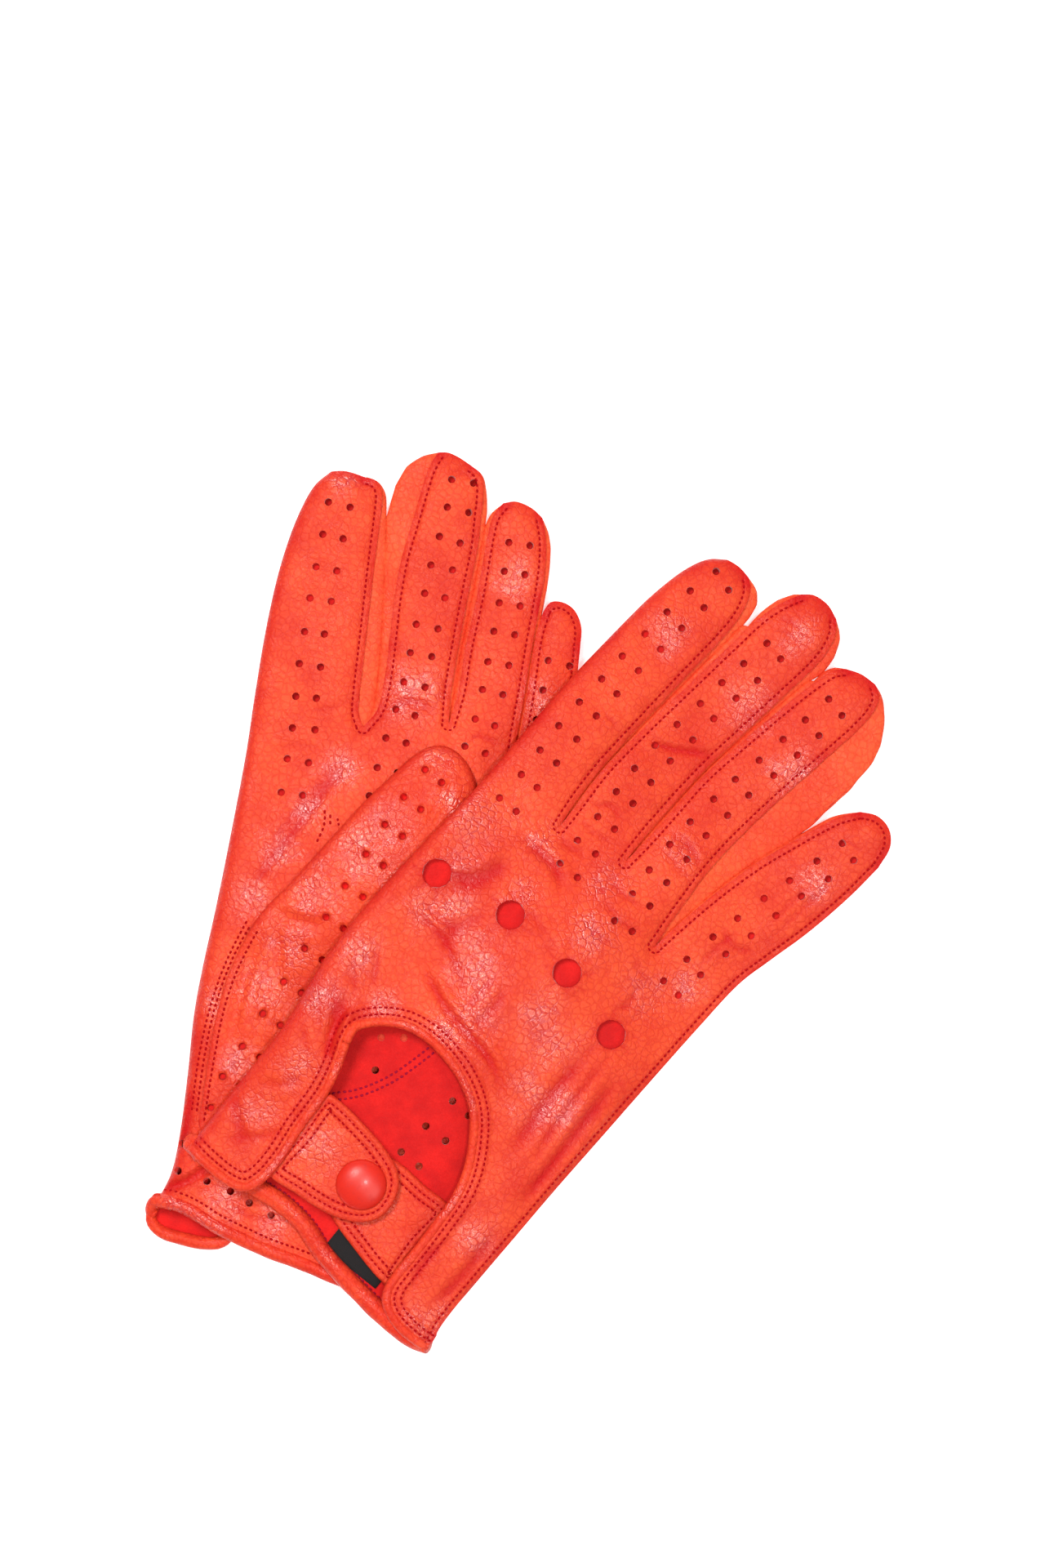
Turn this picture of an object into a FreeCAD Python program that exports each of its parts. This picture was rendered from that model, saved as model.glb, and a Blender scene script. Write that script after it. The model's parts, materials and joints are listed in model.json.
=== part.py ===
"""A pair of unlined leather driving gloves, in millimetres.

The left glove lies palm up on the table. The right glove lies back up across it, tilted, with its
thumb folded under its palm. Each glove is drawn in a frame of its own: the origin is at the middle of
the wrist, u runs across the hand towards the little finger, v runs up towards the fingertips, and z is
up from the face that the glove lies on. Leather pieces are plain flat sheets here, with every seam
line, opening, strap and snap at its real size and place.
"""
import FreeCAD, Part
import math
import os

import Sketcher

OUT = "parts"
DOC = FreeCAD.newDocument("driving_gloves")
SHEET = DOC.addObject("Spreadsheet::Sheet", "Dimensions")
UP = FreeCAD.Vector(0, 0, 1)
SIDES = ("right", "left")
FINGERS = ("index", "middle", "ring", "little")

DRIVING = {
    # leather and heights
    "leather": 0.9,
    "right_hand_height": 8.0,
    "left_hand_height": 6.8,
    "finger_height": 5.2,
    "thumb_height": 2.6,
    "layer_gap": 0.15,
    "left_hand_lift": 0.6,
    # where each glove lies, and the tilt of the upper one about the line where it meets the table
    "right_origin_x": -55.1,
    "right_origin_y": -84.9,
    "right_bearing": 51.2,
    "left_origin_x": -57.5,
    "left_origin_y": -91.2,
    "left_bearing": 80.0,
    "right_tilt": 6.5,
    "tilt_line_x": 94.1,
    # finger joints
    "knuckle_relief": 0.8,
    "panel_relief": 1.6,
    "rim_relief": 3.4,
    # back opening, in both gloves
    "window_binding": 2.2,
    "binding_proud": 0.3,
    "knuckle_hole": 7.6,
    # wrist
    "hem_width": 3.4,
    "elastic_width": 6.0,
    "elastic_length": 66.0,
    "elastic_thickness": 0.4,
    "elastic_v": 16.6,
    "label_width": 22.0,
    "label_depth": 13.0,
    "label_thickness": 0.3,
    "label_u": 12.0,
    "label_v": 5.4,
    # thumb
    "thumb_radius": 10.4,
    "thumb_root_u": -10.9,
    "thumb_root_v": 70.4,
    "thumb_length": 57.0,
    "thumb_lean": 25.0,
    "thumb_hole_radius": 12.0,
    "thumb_hole_u": -19.0,
    "thumb_hole_v": 46.0,
    "thumb_hole_length": 42.0,
    "thumb_hole_lean": 12.0,
    # strap, drawn from its hinge towards the little finger's side
    "strap_u": -17.9,
    "strap_v": 16.6,
    "strap_start": 1.1,
    "strap_root_width": 25.0,
    "strap_end_radius": 9.8,
    "snap_reach": 19.5,
    "strap_hinge": 0.6,
    "strap_clearance": 0.1,
    "base_tab_width": 24.0,
    "base_tab_lap": 4.0,
    "notch_width": 39.3,
    # snap fastener
    "cap_radius": 6.5,
    "cap_height": 2.0,
    "cap_barrel": 1.4,
    "socket_radius": 5.2,
    "socket_bore": 2.6,
    "socket_web": 0.3,
    "stud_flange": 0.4,
    "stud_nub": 2.2,
    "stud_nub_height": 0.8,
    "eyelet_radius": 4.4,
    "eyelet_height": 0.5,
    "snap_clearance": 0.1,
}

# Each finger: the middle of its base, its tip, its width at the base, and the radius of its tip.
FINGER_SIZES = {
    "right_index": (-28.3, 120.5, -22.3, 201.0, 20.4, 9.5),
    "right_middle": (-8.3, 121.5, 0.8, 208.5, 18.4, 9.0),
    "right_ring": (11.6, 118.5, 21.8, 200.0, 18.2, 8.7),
    "right_little": (33.2, 107.5, 50.3, 173.0, 20.4, 8.0),
    "left_index": (-22.4, 131.0, -24.4, 200.4, 28.6, 10.4),
    "left_middle": (3.8, 138.0, 1.2, 210.0, 18.8, 10.4),
    "left_ring": (22.0, 138.0, 23.4, 200.2, 15.4, 7.6),
    "left_little": (37.6, 127.0, 37.4, 176.8, 14.0, 6.6),
}
# The sides of each hand, from the wrist to the base of the outer finger, and the slope of the wrist.
INDEX_EDGE = {
    "right": ((-38.8, -4.2), (-39.1, 37.0), (-42.2, 62.0), (-41.3, 90.0)),
    "left": ((-37.2, -3.4), (-36.9, 14.0), (-38.3, 58.0), (-37.1, 101.0)),
}
LITTLE_EDGE = {
    "right": ((39.2, -7.8), (40.6, 18.0), (42.0, 64.0), (44.0, 96.0)),
    "left": ((35.4, -6.0), (41.4, 22.0), (43.4, 68.0), (44.6, 118.0)),
}
# The back opening, from the wrist round to the wrist: its corners, and the radius of each round side.
WINDOW = ((-18.6, -14.0), (-17.8, 5.0), (-19.6, 29.0), (-24.2, 45.6), (-8.6, 55.9), (11.6, 48.6),
          (22.3, 26.3), (21.4, 4.0), (21.4, -14.0))
WINDOW_RADII = {3: 17.5, 4: 28.0, 5: 38.0}
KNUCKLE_HOLES = ((-33.0, 90.9), (-11.9, 94.4), (8.7, 91.9), (27.5, 86.5))


class Size:
    """A number from the sheet, with the expression that gives it."""

    def __init__(self, value, text):
        self.value, self.text = float(value), text

    def __add__(self, other):
        other = size(other)
        return Size(self.value + other.value, f"({self.text} + {other.text})")

    def __sub__(self, other):
        other = size(other)
        return Size(self.value - other.value, f"({self.text} - {other.text})")

    def __mul__(self, factor):
        return Size(self.value * factor, f"({self.text} * {factor})")

    def __neg__(self):
        return self * -1


def size(thing):
    """A Size from a Size, an alias of the sheet, or a plain number."""
    if isinstance(thing, Size):
        return thing
    if isinstance(thing, str):
        return Size(SHEET.get(thing), f"Dimensions.{thing}")
    return Size(thing, str(thing))


def mm(alias):
    """The plain value of a cell."""
    return float(SHEET.get(alias))


def fill_sheet():
    """Every driving dimension, one to a row, with its alias."""
    cells = dict(DRIVING)
    for finger, values in FINGER_SIZES.items():
        names = ("base_u", "base_v", "tip_u", "tip_v", "width", "tip_radius")
        cells.update({f"{finger}_{name}": value for name, value in zip(names, values)})
    for side in SIDES:
        for edge, points in (("index_edge", INDEX_EDGE[side]), ("little_edge", LITTLE_EDGE[side])):
            for number, (u, v) in enumerate(points):
                cells[f"{side}_{edge}_u_{number}"] = u
                cells[f"{side}_{edge}_v_{number}"] = v
    for number, (u, v) in enumerate(WINDOW):
        cells[f"window_u_{number}"] = u
        cells[f"window_v_{number}"] = v
    for number, radius in WINDOW_RADII.items():
        cells[f"window_radius_{number}"] = radius
    for number, (u, v) in enumerate(KNUCKLE_HOLES):
        cells[f"hole_u_{number}"] = u
        cells[f"hole_v_{number}"] = v
    for row, (alias, value) in enumerate(cells.items(), start=1):
        SHEET.set(f"A{row}", alias)
        SHEET.set(f"B{row}", str(value))
        SHEET.setAlias(f"B{row}", alias)
    DOC.recompute()


# --- drawing and solids ---------------------------------------------------------------------------


def hold(sketch, kind, place, amount):
    """Ties one coordinate of a sketch's point to the sheet."""
    geometry, end = place
    if abs(amount.value) < 1e-9:
        axis = -2 if kind == "DistanceX" else -1
        sketch.addConstraint(Sketcher.Constraint("PointOnObject", geometry, end, axis))
        return
    number = sketch.addConstraint(Sketcher.Constraint(kind, -1, 1, geometry, end, amount.value))
    sketch.setExpression(f"Constraints[{number}]", amount.text)


def bend_centre(start, end, radius):
    """The centre of an arc that bulges to the left of the way from start to end."""
    chord = end - start
    half = chord.Length / 2
    across = FreeCAD.Vector(chord.y, -chord.x, 0).normalize()
    return start + chord / 2 + across * math.sqrt(max(radius**2 - half**2, 0))


def closed_outline(sketch, corners, radii=None):
    """Draws a closed outline clockwise. radii gives the radius of the side that leaves a corner."""
    radii = {number: size(radius) for number, radius in (radii or {}).items()}
    points = [(size(u), size(v)) for u, v in corners]
    spots = [FreeCAD.Vector(u.value, v.value, 0) for u, v in points]
    starts, ends = [], []
    for number, start in enumerate(spots):
        end = spots[(number + 1) % len(spots)]
        if number in radii:
            radius = radii[number].value
            centre = bend_centre(start, end, radius)
            first = math.atan2(end.y - centre.y, end.x - centre.x)
            last = math.atan2(start.y - centre.y, start.x - centre.x)
            arc = Part.ArcOfCircle(Part.Circle(centre, UP, radius), first, last)
            index = sketch.addGeometry(arc)
            starts.append((index, 2))
            ends.append((index, 1))
        else:
            index = sketch.addGeometry(Part.LineSegment(start, end))
            starts.append((index, 1))
            ends.append((index, 2))
    for number, (u, v) in enumerate(points):
        sketch.addConstraint(Sketcher.Constraint("Coincident", *ends[number - 1], *starts[number]))
        hold(sketch, "DistanceX", starts[number], u)
        hold(sketch, "DistanceY", starts[number], v)
    for number, radius in radii.items():
        index = sketch.addConstraint(Sketcher.Constraint("Radius", starts[number][0], radius.value))
        sketch.setExpression(f"Constraints[{index}]", radius.text)


def new_body(label):
    body = DOC.addObject("PartDesign::Body", label)
    body.Label = label
    return body


def sketch_in(body, name, height=0):
    """A sketch on the body's XY plane, raised by height."""
    sketch = body.newObject("Sketcher::SketchObject", name)
    plane = [f for f in body.Origin.OriginFeatures if f.Role == "XY_Plane"][0]
    sketch.AttachmentSupport = [(plane, "")]
    sketch.MapMode = "FlatFace"
    height = size(height)
    sketch.AttachmentOffset = FreeCAD.Placement(UP * height.value, FreeCAD.Rotation())
    sketch.setExpression("AttachmentOffset.Base.z", height.text)
    return sketch


def pad(body, sketch, thickness):
    feature = body.newObject("PartDesign::Pad", sketch.Name + "_pad")
    feature.Profile = sketch
    thickness = size(thickness)
    feature.Length = thickness.value
    feature.setExpression("Length", thickness.text)
    return feature


def pocket(body, sketch):
    """Cuts a sketch through everything above and below it."""
    DOC.recompute()
    before = body.Shape.Volume
    feature = body.newObject("PartDesign::Pocket", sketch.Name + "_pocket")
    feature.Profile = sketch
    feature.Type = 1
    feature.Midplane = True
    DOC.recompute()
    if not body.Shape.Volume < before - 1e-6:
        raise RuntimeError(f"{sketch.Name} cuts nothing")
    return feature


def slab(label, corners, radii, bottom, thickness):
    """A flat piece of sheet: one outline, padded."""
    body = new_body(label)
    sketch = sketch_in(body, label + "_outline", bottom)
    closed_outline(sketch, corners, radii)
    pad(body, sketch, thickness)
    return body


def add_circle(sketch, u, v, radius):
    u, v, radius = size(u), size(v), size(radius)
    circle = Part.Circle(FreeCAD.Vector(u.value, v.value, 0), UP, radius.value)
    index = sketch.addGeometry(circle)
    hold(sketch, "DistanceX", (index, 3), u)
    hold(sketch, "DistanceY", (index, 3), v)
    number = sketch.addConstraint(Sketcher.Constraint("Radius", index, radius.value))
    sketch.setExpression(f"Constraints[{number}]", radius.text)


def turned(label, profile):
    """A piece turned about its own z axis, from (radius, height) corners."""
    body = new_body(label)
    sketch = body.newObject("Sketcher::SketchObject", label + "_profile")
    plane = [f for f in body.Origin.OriginFeatures if f.Role == "XZ_Plane"][0]
    sketch.AttachmentSupport = [(plane, "")]
    sketch.MapMode = "FlatFace"
    corners, radii = profile
    closed_outline(sketch, corners, radii)
    feature = body.newObject("PartDesign::Revolution", label + "_turn")
    feature.Profile = sketch
    feature.ReferenceAxis = (sketch, ["V_Axis"])
    feature.Angle = 360
    return body


# --- places ---------------------------------------------------------------------------------------


def turn_z(degrees):
    return FreeCAD.Rotation(UP, degrees)


def glove_place(side):
    """Carries a glove's own frame to the pair's frame."""
    origin = FreeCAD.Vector(mm(side + "_origin_x"), mm(side + "_origin_y"), 0)
    lying = FreeCAD.Placement(origin, turn_z(mm(side + "_bearing") - 90))
    if side == "left":
        return lying
    pivot = FreeCAD.Vector(mm("tilt_line_x"), 0, 0)
    tilt = FreeCAD.Rotation(FreeCAD.Vector(0, 1, 0), mm("right_tilt"))
    return FreeCAD.Placement(pivot, tilt) * FreeCAD.Placement(-pivot, FreeCAD.Rotation()) * lying


def hand_place(side):
    """The hand of the left glove is held a little off the table by its own snap cap."""
    lift = mm("left_hand_lift") if side == "left" else 0.0
    return glove_place(side) * FreeCAD.Placement(UP * lift, FreeCAD.Rotation())


def finger_place(side, finger):
    """Carries a finger's frame, with its origin at the middle of its base and y to its tip."""
    name = f"{side}_{finger}"
    u, v = mm(name + "_base_u"), mm(name + "_base_v")
    lean = math.degrees(math.atan2(mm(name + "_tip_u") - u, mm(name + "_tip_v") - v))
    return glove_place(side) * FreeCAD.Placement(FreeCAD.Vector(u, v, 0), turn_z(-lean))


def finger_length(side, finger):
    name = f"{side}_{finger}"
    return math.hypot(mm(name + "_tip_u") - mm(name + "_base_u"), mm(name + "_tip_v") - mm(name + "_base_v"))


def thumb_place(side):
    """The thumb lies on the palm: above it on the left glove, under it on the right one."""
    gap, height = mm("layer_gap"), mm("thumb_height")
    level = mm("left_hand_height") + gap if side == "left" else -gap - height
    root = FreeCAD.Vector(mm("thumb_root_u"), mm("thumb_root_v"), level)
    return hand_place(side) * FreeCAD.Placement(root, turn_z(-mm("thumb_lean")))


def tab_levels():
    """The underside of the upper tab and the top of the lower one, clear of the binding between."""
    proud = size("binding_proud") + "strap_clearance"
    return proud, -(proud + "leather")


def strap_place(side):
    """Carries the strap's frame: x along the strap, z out of the back of the hand.

    On the right glove z = 0 is the outer face of the back. The left glove rests on its own snap cap,
    which presses the strap into the opening.
    """
    tab_bottom, _ = tab_levels()
    cap_top = (tab_bottom + "leather" + "cap_height").value
    face = mm("right_hand_height") if side == "right" else cap_top - mm("left_hand_lift")
    flip = FreeCAD.Rotation(FreeCAD.Vector(1, 0, 0), 180 if side == "left" else 0)
    root = FreeCAD.Vector(mm("strap_u"), mm("strap_v"), face)
    return hand_place(side) * FreeCAD.Placement(root, flip)


# --- leather of the hand --------------------------------------------------------------------------


def base_corners(side, finger):
    """The hand panel's corners under one finger, from its index side to its little side."""
    place = glove_place(side).inverse() * finger_place(side, finger)
    half = mm(f"{side}_{finger}_width") / 2
    back = -mm("panel_relief")
    return [place.multVec(FreeCAD.Vector(x, back, 0)) for x in (-half, half)]


def edge_cells(side, edge):
    return [(f"{side}_{edge}_u_{number}", f"{side}_{edge}_v_{number}") for number in range(4)]


def hand_outline(side, hem):
    """Corners of a hand panel, clockwise from the wrist's index corner. hem is kept for the binding."""
    index_side, little_side = edge_cells(side, "index_edge"), edge_cells(side, "little_edge")
    (low_u, low_v), (far_u, far_v) = index_side[0], little_side[0]
    corners = [(low_u, size(low_v) + hem)] + index_side[1:]
    for finger in FINGERS:
        corners += [(p.x, p.y) for p in base_corners(side, finger)]
    return corners + little_side[:0:-1] + [(far_u, size(far_v) + hem)]


def rim_outline(side, edge):
    """A thin strip inside one side of the hand, clockwise."""
    points = edge_cells(side, edge)
    inward = size("leather") if edge == "index_edge" else -size("leather")
    finger = "index" if edge == "index_edge" else "little"
    place = glove_place(side).inverse() * finger_place(side, finger)
    half = mm(f"{side}_{finger}_width") / 2
    top = place.multVec(FreeCAD.Vector(-half if edge == "index_edge" else half, -mm("rim_relief"), 0))
    low_u, low_v = points[0]
    outer = [(low_u, size(low_v) + "hem_width")] + points[1:] + [(top.x, top.y)]
    inner = [(size(u) + inward, v) for u, v in outer]
    if edge == "index_edge":
        return outer + inner[::-1]
    return inner + outer[::-1]


def hand_panel(side, name, upper):
    """One face of the hand, with half of each side wall folded from it."""
    label = f"{side}_{name}"
    height = size(side + "_hand_height")
    plate_bottom = height - "leather" if upper else size(0)
    rim_bottom = height * 0.5 if upper else size("leather")
    body = slab(label, hand_outline(side, "hem_width"), None, plate_bottom, "leather")
    for edge in ("index_edge", "little_edge"):
        sketch = sketch_in(body, f"{label}_{edge}_rim", rim_bottom)
        closed_outline(sketch, rim_outline(side, edge))
        pad(body, sketch, height * 0.5 - "leather")
    return body


def capsule(length, radius, u=0, v=0):
    """Corners and radii of a slot shape that runs up from a round end at (u, v)."""
    u, v, length, radius = size(u), size(v), size(length), size(radius)
    corners = [(u - radius, v), (u - radius, v + length), (u, v + length + radius),
               (u + radius, v + length), (u + radius, v), (u, v - radius)]
    return corners, {1: radius, 2: radius, 4: radius, 5: radius}


def thumb_hole_place(side):
    spot = FreeCAD.Vector(mm("thumb_hole_u"), mm("thumb_hole_v"), 0)
    return FreeCAD.Placement(spot, turn_z(-mm("thumb_hole_lean")))


def cut(label, base, tool):
    """base with tool taken away, as its own object."""
    result = DOC.addObject("Part::Cut", label)
    result.Base, result.Tool, result.Label = base, tool, label
    return result


def palm_panel(side):
    """The palm, with the hole that the thumb is sewn into."""
    blank = hand_panel(side, "palm_blank", upper=side == "left")
    hole = slab(f"{side}_thumb_hole", *capsule("thumb_hole_length", "thumb_hole_radius"), -20, 40)
    hole.Placement = thumb_hole_place(side)
    return cut(f"{side}_palm_panel", blank, hole)


def thumb_gusset(side):
    """The root of the thumb piece: it fills the thumb hole and is sewn into it all round."""
    level = size("left_hand_height") - "leather" if side == "left" else size(0)
    seam = size("thumb_hole_radius") - "layer_gap"
    body = slab(f"{side}_thumb_gusset", *capsule("thumb_hole_length", seam), level, "leather")
    body.Placement = hand_place(side) * thumb_hole_place(side)
    return body


def window_sketch(side):
    sketch = DOC.addObject("Sketcher::SketchObject", f"{side}_window")
    corners = [(f"window_u_{number}", f"window_v_{number}") for number in range(len(WINDOW))]
    closed_outline(sketch, corners, {number: f"window_radius_{number}" for number in WINDOW_RADII})
    return sketch


def raised(name, profile, bottom, height):
    """A flat shape extruded from bottom upwards."""
    bottom, height = size(bottom), size(height)
    solid = DOC.addObject("Part::Extrusion", name)
    solid.Base = profile
    solid.DirMode = "Custom"
    solid.Dir = UP
    solid.Solid = True
    solid.LengthFwd, solid.LengthRev = height.value + bottom.value, -bottom.value
    solid.setExpression("LengthFwd", (height + bottom).text)
    solid.setExpression("LengthRev", (-bottom).text)
    return solid


def back_panel_and_binding(side):
    """The back, cut out at the wrist and punched over the knuckles, and the binding of the cut-out."""
    upper = side == "right"
    height = size(side + "_hand_height")
    blank = hand_panel(side, "back_blank", upper)
    holes = sketch_in(blank, f"{side}_knuckle_holes")
    for number in range(len(KNUCKLE_HOLES)):
        add_circle(holes, f"hole_u_{number}", f"hole_v_{number}", size("knuckle_hole") * 0.5)
    pocket(blank, holes)
    window = window_sketch(side)
    wide = DOC.addObject("Part::Offset2D", f"{side}_wide_window")
    wide.Source = window
    wide.Value = mm("window_binding")
    wide.setExpression("Value", "Dimensions.window_binding")
    panel = cut(f"{side}_back_panel", blank, raised(f"{side}_window_cutter", wide, -5, 20))
    face = height - "leather" if upper else size(0)
    bottom, depth = face - "binding_proud", size("leather") + size("binding_proud") * 2
    ring = cut(f"{side}_ring", raised(f"{side}_outer", wide, bottom, depth),
               raised(f"{side}_inner", window, -5, 20))
    whole = hand_outline(side, 0)
    hand = slab(f"{side}_hand_block", whole, None, -5, 20)
    binding = DOC.addObject("Part::Common", f"{side}_window_binding")
    binding.Base, binding.Tool, binding.Label = ring, hand, f"{side}_window_binding"
    return panel, binding


def hem(side, name, level, spans):
    """A rolled hem along the wrist: level is its underside, spans are its (start, end) along u."""
    body = new_body(f"{side}_{name}")
    (left_u, left_v), (right_u, right_v) = INDEX_EDGE[side][0], LITTLE_EDGE[side][0]
    slope = (right_v - left_v) / (right_u - left_u)
    sketch = sketch_in(body, body.Label + "_strip", level)
    for start, end in spans:
        lows = [left_v + slope * (u - left_u) for u in (start, end)]
        tops = [size(low) + "hem_width" for low in lows]
        closed_outline(sketch, [(start, lows[0]), (start, tops[0]), (end, tops[1]), (end, lows[1])])
    pad(body, sketch, size("leather") + size("binding_proud") * 2)
    return body


def wrist_hems(side):
    """The bound wrist edges: one strip across the palm, and one on each side of the back opening."""
    height, proud = size(side + "_hand_height"), size("binding_proud")
    top, bottom = height - "leather" - proud, -proud
    first, last = INDEX_EDGE[side][0][0], LITTLE_EDGE[side][0][0]
    opening = (WINDOW[0][0] - mm("window_binding"), WINDOW[-1][0] + mm("window_binding"))
    sides = [(first, opening[0]), (opening[1], last)]
    levels = {"back": top if side == "right" else bottom, "palm": bottom if side == "right" else top}
    return [hem(side, "wrist_hem_back", levels["back"], sides),
            hem(side, "wrist_hem_palm", levels["palm"], [(first, last)])]


def rectangle(label, u, v, width, depth, level, thickness):
    """A flat oblong centred on (u, v)."""
    u, v, half, deep = size(u), size(v), size(width) * 0.5, size(depth) * 0.5
    corners = [(u - half, v - deep), (u - half, v + deep), (u + half, v + deep), (u + half, v - deep)]
    return slab(label, corners, None, level, thickness)


def inside_palm(side, thickness):
    """The level of something sewn to the inside of the palm."""
    if side == "left":
        return size("left_hand_height") - "leather" - thickness
    return size("leather")


def wrist_fittings(side):
    """The elastic that gathers the palm, and the sewn-in label."""
    elastic = rectangle(f"{side}_wrist_elastic", 0.5, "elastic_v", "elastic_length", "elastic_width",
                        inside_palm(side, "elastic_thickness"), "elastic_thickness")
    label = rectangle(f"{side}_label", "label_u", "label_v", "label_width", "label_depth",
                      inside_palm(side, "label_thickness"), "label_thickness")
    return [elastic, label]


# --- strap and snap -------------------------------------------------------------------------------


def strap_tab():
    """The tab that opens: wide where it is sewn on, with a round end about the snap."""
    start, reach, radius = size("strap_start"), size("snap_reach"), size("strap_end_radius")
    half = size("strap_root_width") * 0.5
    corners = [(start, -half), (start, half), (reach, radius), (reach + radius, 0), (reach, -radius)]
    return corners, {2: radius, 3: radius}


def base_tab():
    """The tab underneath, sewn under the far side of the opening, with a round end under the snap."""
    reach, half = size("snap_reach"), size("base_tab_width") * 0.5
    radius = size("strap_end_radius")
    far = size("notch_width") + "base_tab_lap"
    corners = [(far, half), (far, -half), (reach, -radius), (reach - radius, 0), (reach, radius)]
    return corners, {2: radius, 3: radius}


def with_hole(body, x, radius):
    """Punches a round hole on the strap's centre line."""
    sketch = sketch_in(body, body.Label + "_hole")
    add_circle(sketch, x, 0, radius)
    pocket(body, sketch)
    return body


def strap_pieces(side):
    """Both tabs and the four pieces of the snap, all in the strap's frame."""
    leather = size("leather")
    tab_bottom, base_top = tab_levels()
    tab_top, base_bottom = tab_bottom + leather, base_top - leather
    clear, web = size("snap_clearance"), size("socket_web")
    flange_top = base_top + "stud_flange"
    socket_bottom = flange_top + clear
    barrel, bore = size("cap_barrel"), size("socket_bore")
    tab = with_hole(slab(f"{side}_strap_tab", *strap_tab(), tab_bottom, leather), "snap_reach", barrel)
    post = size("stud_nub") * 0.5
    base = with_hole(slab(f"{side}_strap_base", *base_tab(), base_bottom, leather), "snap_reach", post)
    dome = size("cap_radius")
    rise = (mm("cap_radius") ** 2 + mm("cap_height") ** 2) / (2 * mm("cap_height"))
    cap = turned(f"{side}_snap_cap", (
        [(0, tab_bottom - web), (0, tab_top + "cap_height"), (dome, tab_top), (barrel, tab_top),
         (barrel, tab_bottom - web)], {1: rise}))
    socket = turned(f"{side}_snap_socket", (
        [(barrel, tab_bottom - web), (barrel, tab_bottom), ("socket_radius", tab_bottom),
         ("socket_radius", socket_bottom), (bore, socket_bottom), (bore, tab_bottom - web)], {}))
    stud = turned(f"{side}_snap_stud", (
        [(0, base_bottom), (0, flange_top + "stud_nub_height"), ("stud_nub", flange_top + "stud_nub_height"),
         ("stud_nub", flange_top), ("socket_radius", flange_top), ("socket_radius", base_top),
         (post, base_top), (post, base_bottom)], {}))
    eyelet = turned(f"{side}_snap_eyelet", (
        [(0, base_bottom - "eyelet_height"), (0, base_bottom), ("eyelet_radius", base_bottom),
         ("eyelet_radius", base_bottom - "eyelet_height")], {}))
    at_snap = FreeCAD.Placement(FreeCAD.Vector(mm("snap_reach"), 0, 0), FreeCAD.Rotation())
    for piece in (tab, base):
        piece.Placement = strap_place(side)
    for piece in (cap, socket, stud, eyelet):
        piece.Placement = strap_place(side) * at_snap
    return [tab, base, cap, socket, stud, eyelet]


# --- fingers and thumb ----------------------------------------------------------------------------


def finger_pieces(side, finger):
    """A finger's two faces, and the side walls (fourchettes) sewn between them."""
    name = f"{side}_{finger}"
    half, tip = size(name + "_width") * 0.5, size(name + "_tip_radius")
    length = size(finger_length(side, finger))
    start, leather, height = size("knuckle_relief"), size("leather"), size("finger_height")
    round_from = length - tip
    outer = [(-half, start), (-tip, round_from), (0, length), (tip, round_from), (half, start)]
    inner = [(half - leather, start), (tip - leather, round_from), (0, length - leather),
             (leather - tip, round_from), (leather - half, start)]
    inner_radius = tip - leather
    upper, lower = ("back", "palm") if side == "right" else ("palm", "back")
    faces = [slab(f"{name}_{upper}", outer, {1: tip, 2: tip}, height - leather, leather),
             slab(f"{name}_{lower}", outer, {1: tip, 2: tip}, 0, leather)]
    walls = new_body(f"{name}_fourchettes")
    sketch = sketch_in(walls, f"{name}_wall", leather)
    wall_outline(sketch, outer, inner, tip, inner_radius)
    pad(walls, sketch, height - leather * 2)
    for piece in faces + [walls]:
        piece.Placement = finger_place(side, finger)
    return faces + [walls]


def wall_outline(sketch, outer, inner, tip, inner_radius):
    """The U of a finger's side walls: out along one edge, round the tip, and back inside it."""
    corners = outer + inner
    spots = [FreeCAD.Vector(size(u).value, size(v).value, 0) for u, v in corners]
    tip_centre = FreeCAD.Vector(0, spots[1].y, 0)
    round_sides = {1: tip, 2: tip, 6: inner_radius, 7: inner_radius}
    starts, ends = [], []
    for number, start in enumerate(spots):
        end = spots[(number + 1) % len(spots)]
        if number in round_sides:
            turn = [math.atan2(p.y - tip_centre.y, p.x - tip_centre.x) for p in (start, end)]
            clockwise = number < len(outer)
            first, last = (turn[1], turn[0]) if clockwise else (turn[0], turn[1])
            circle = Part.Circle(tip_centre, UP, round_sides[number].value)
            index = sketch.addGeometry(Part.ArcOfCircle(circle, first, last))
            starts.append((index, 2 if clockwise else 1))
            ends.append((index, 1 if clockwise else 2))
        else:
            index = sketch.addGeometry(Part.LineSegment(start, end))
            starts.append((index, 1))
            ends.append((index, 2))
    for number, (u, v) in enumerate(corners):
        sketch.addConstraint(Sketcher.Constraint("Coincident", *ends[number - 1], *starts[number]))
        hold(sketch, "DistanceX", starts[number], size(u))
        hold(sketch, "DistanceY", starts[number], size(v))
    for number, radius in round_sides.items():
        index = sketch.addConstraint(Sketcher.Constraint("Radius", starts[number][0], radius.value))
        sketch.setExpression(f"Constraints[{index}]", radius.text)


def thumb_pieces(side):
    """The thumb's front and back leathers, each with half of the side wall folded from it."""
    pieces = []
    height, leather = size("thumb_height"), size("leather")
    gap = height - leather * 2
    for name, plate, wall in (("thumb_lower", size(0), leather),
                              ("thumb_upper", height - leather, leather + gap * 0.5)):
        body = slab(f"{side}_{name}", *capsule("thumb_length", "thumb_radius"), plate, leather)
        sketch = sketch_in(body, f"{side}_{name}_rim", wall)
        closed_outline(sketch, *capsule("thumb_length", "thumb_radius"))
        closed_outline(sketch, *capsule("thumb_length", size("thumb_radius") - leather))
        pad(body, sketch, gap * 0.5)
        body.Placement = thumb_place(side)
        pieces.append(body)
    return pieces


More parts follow.
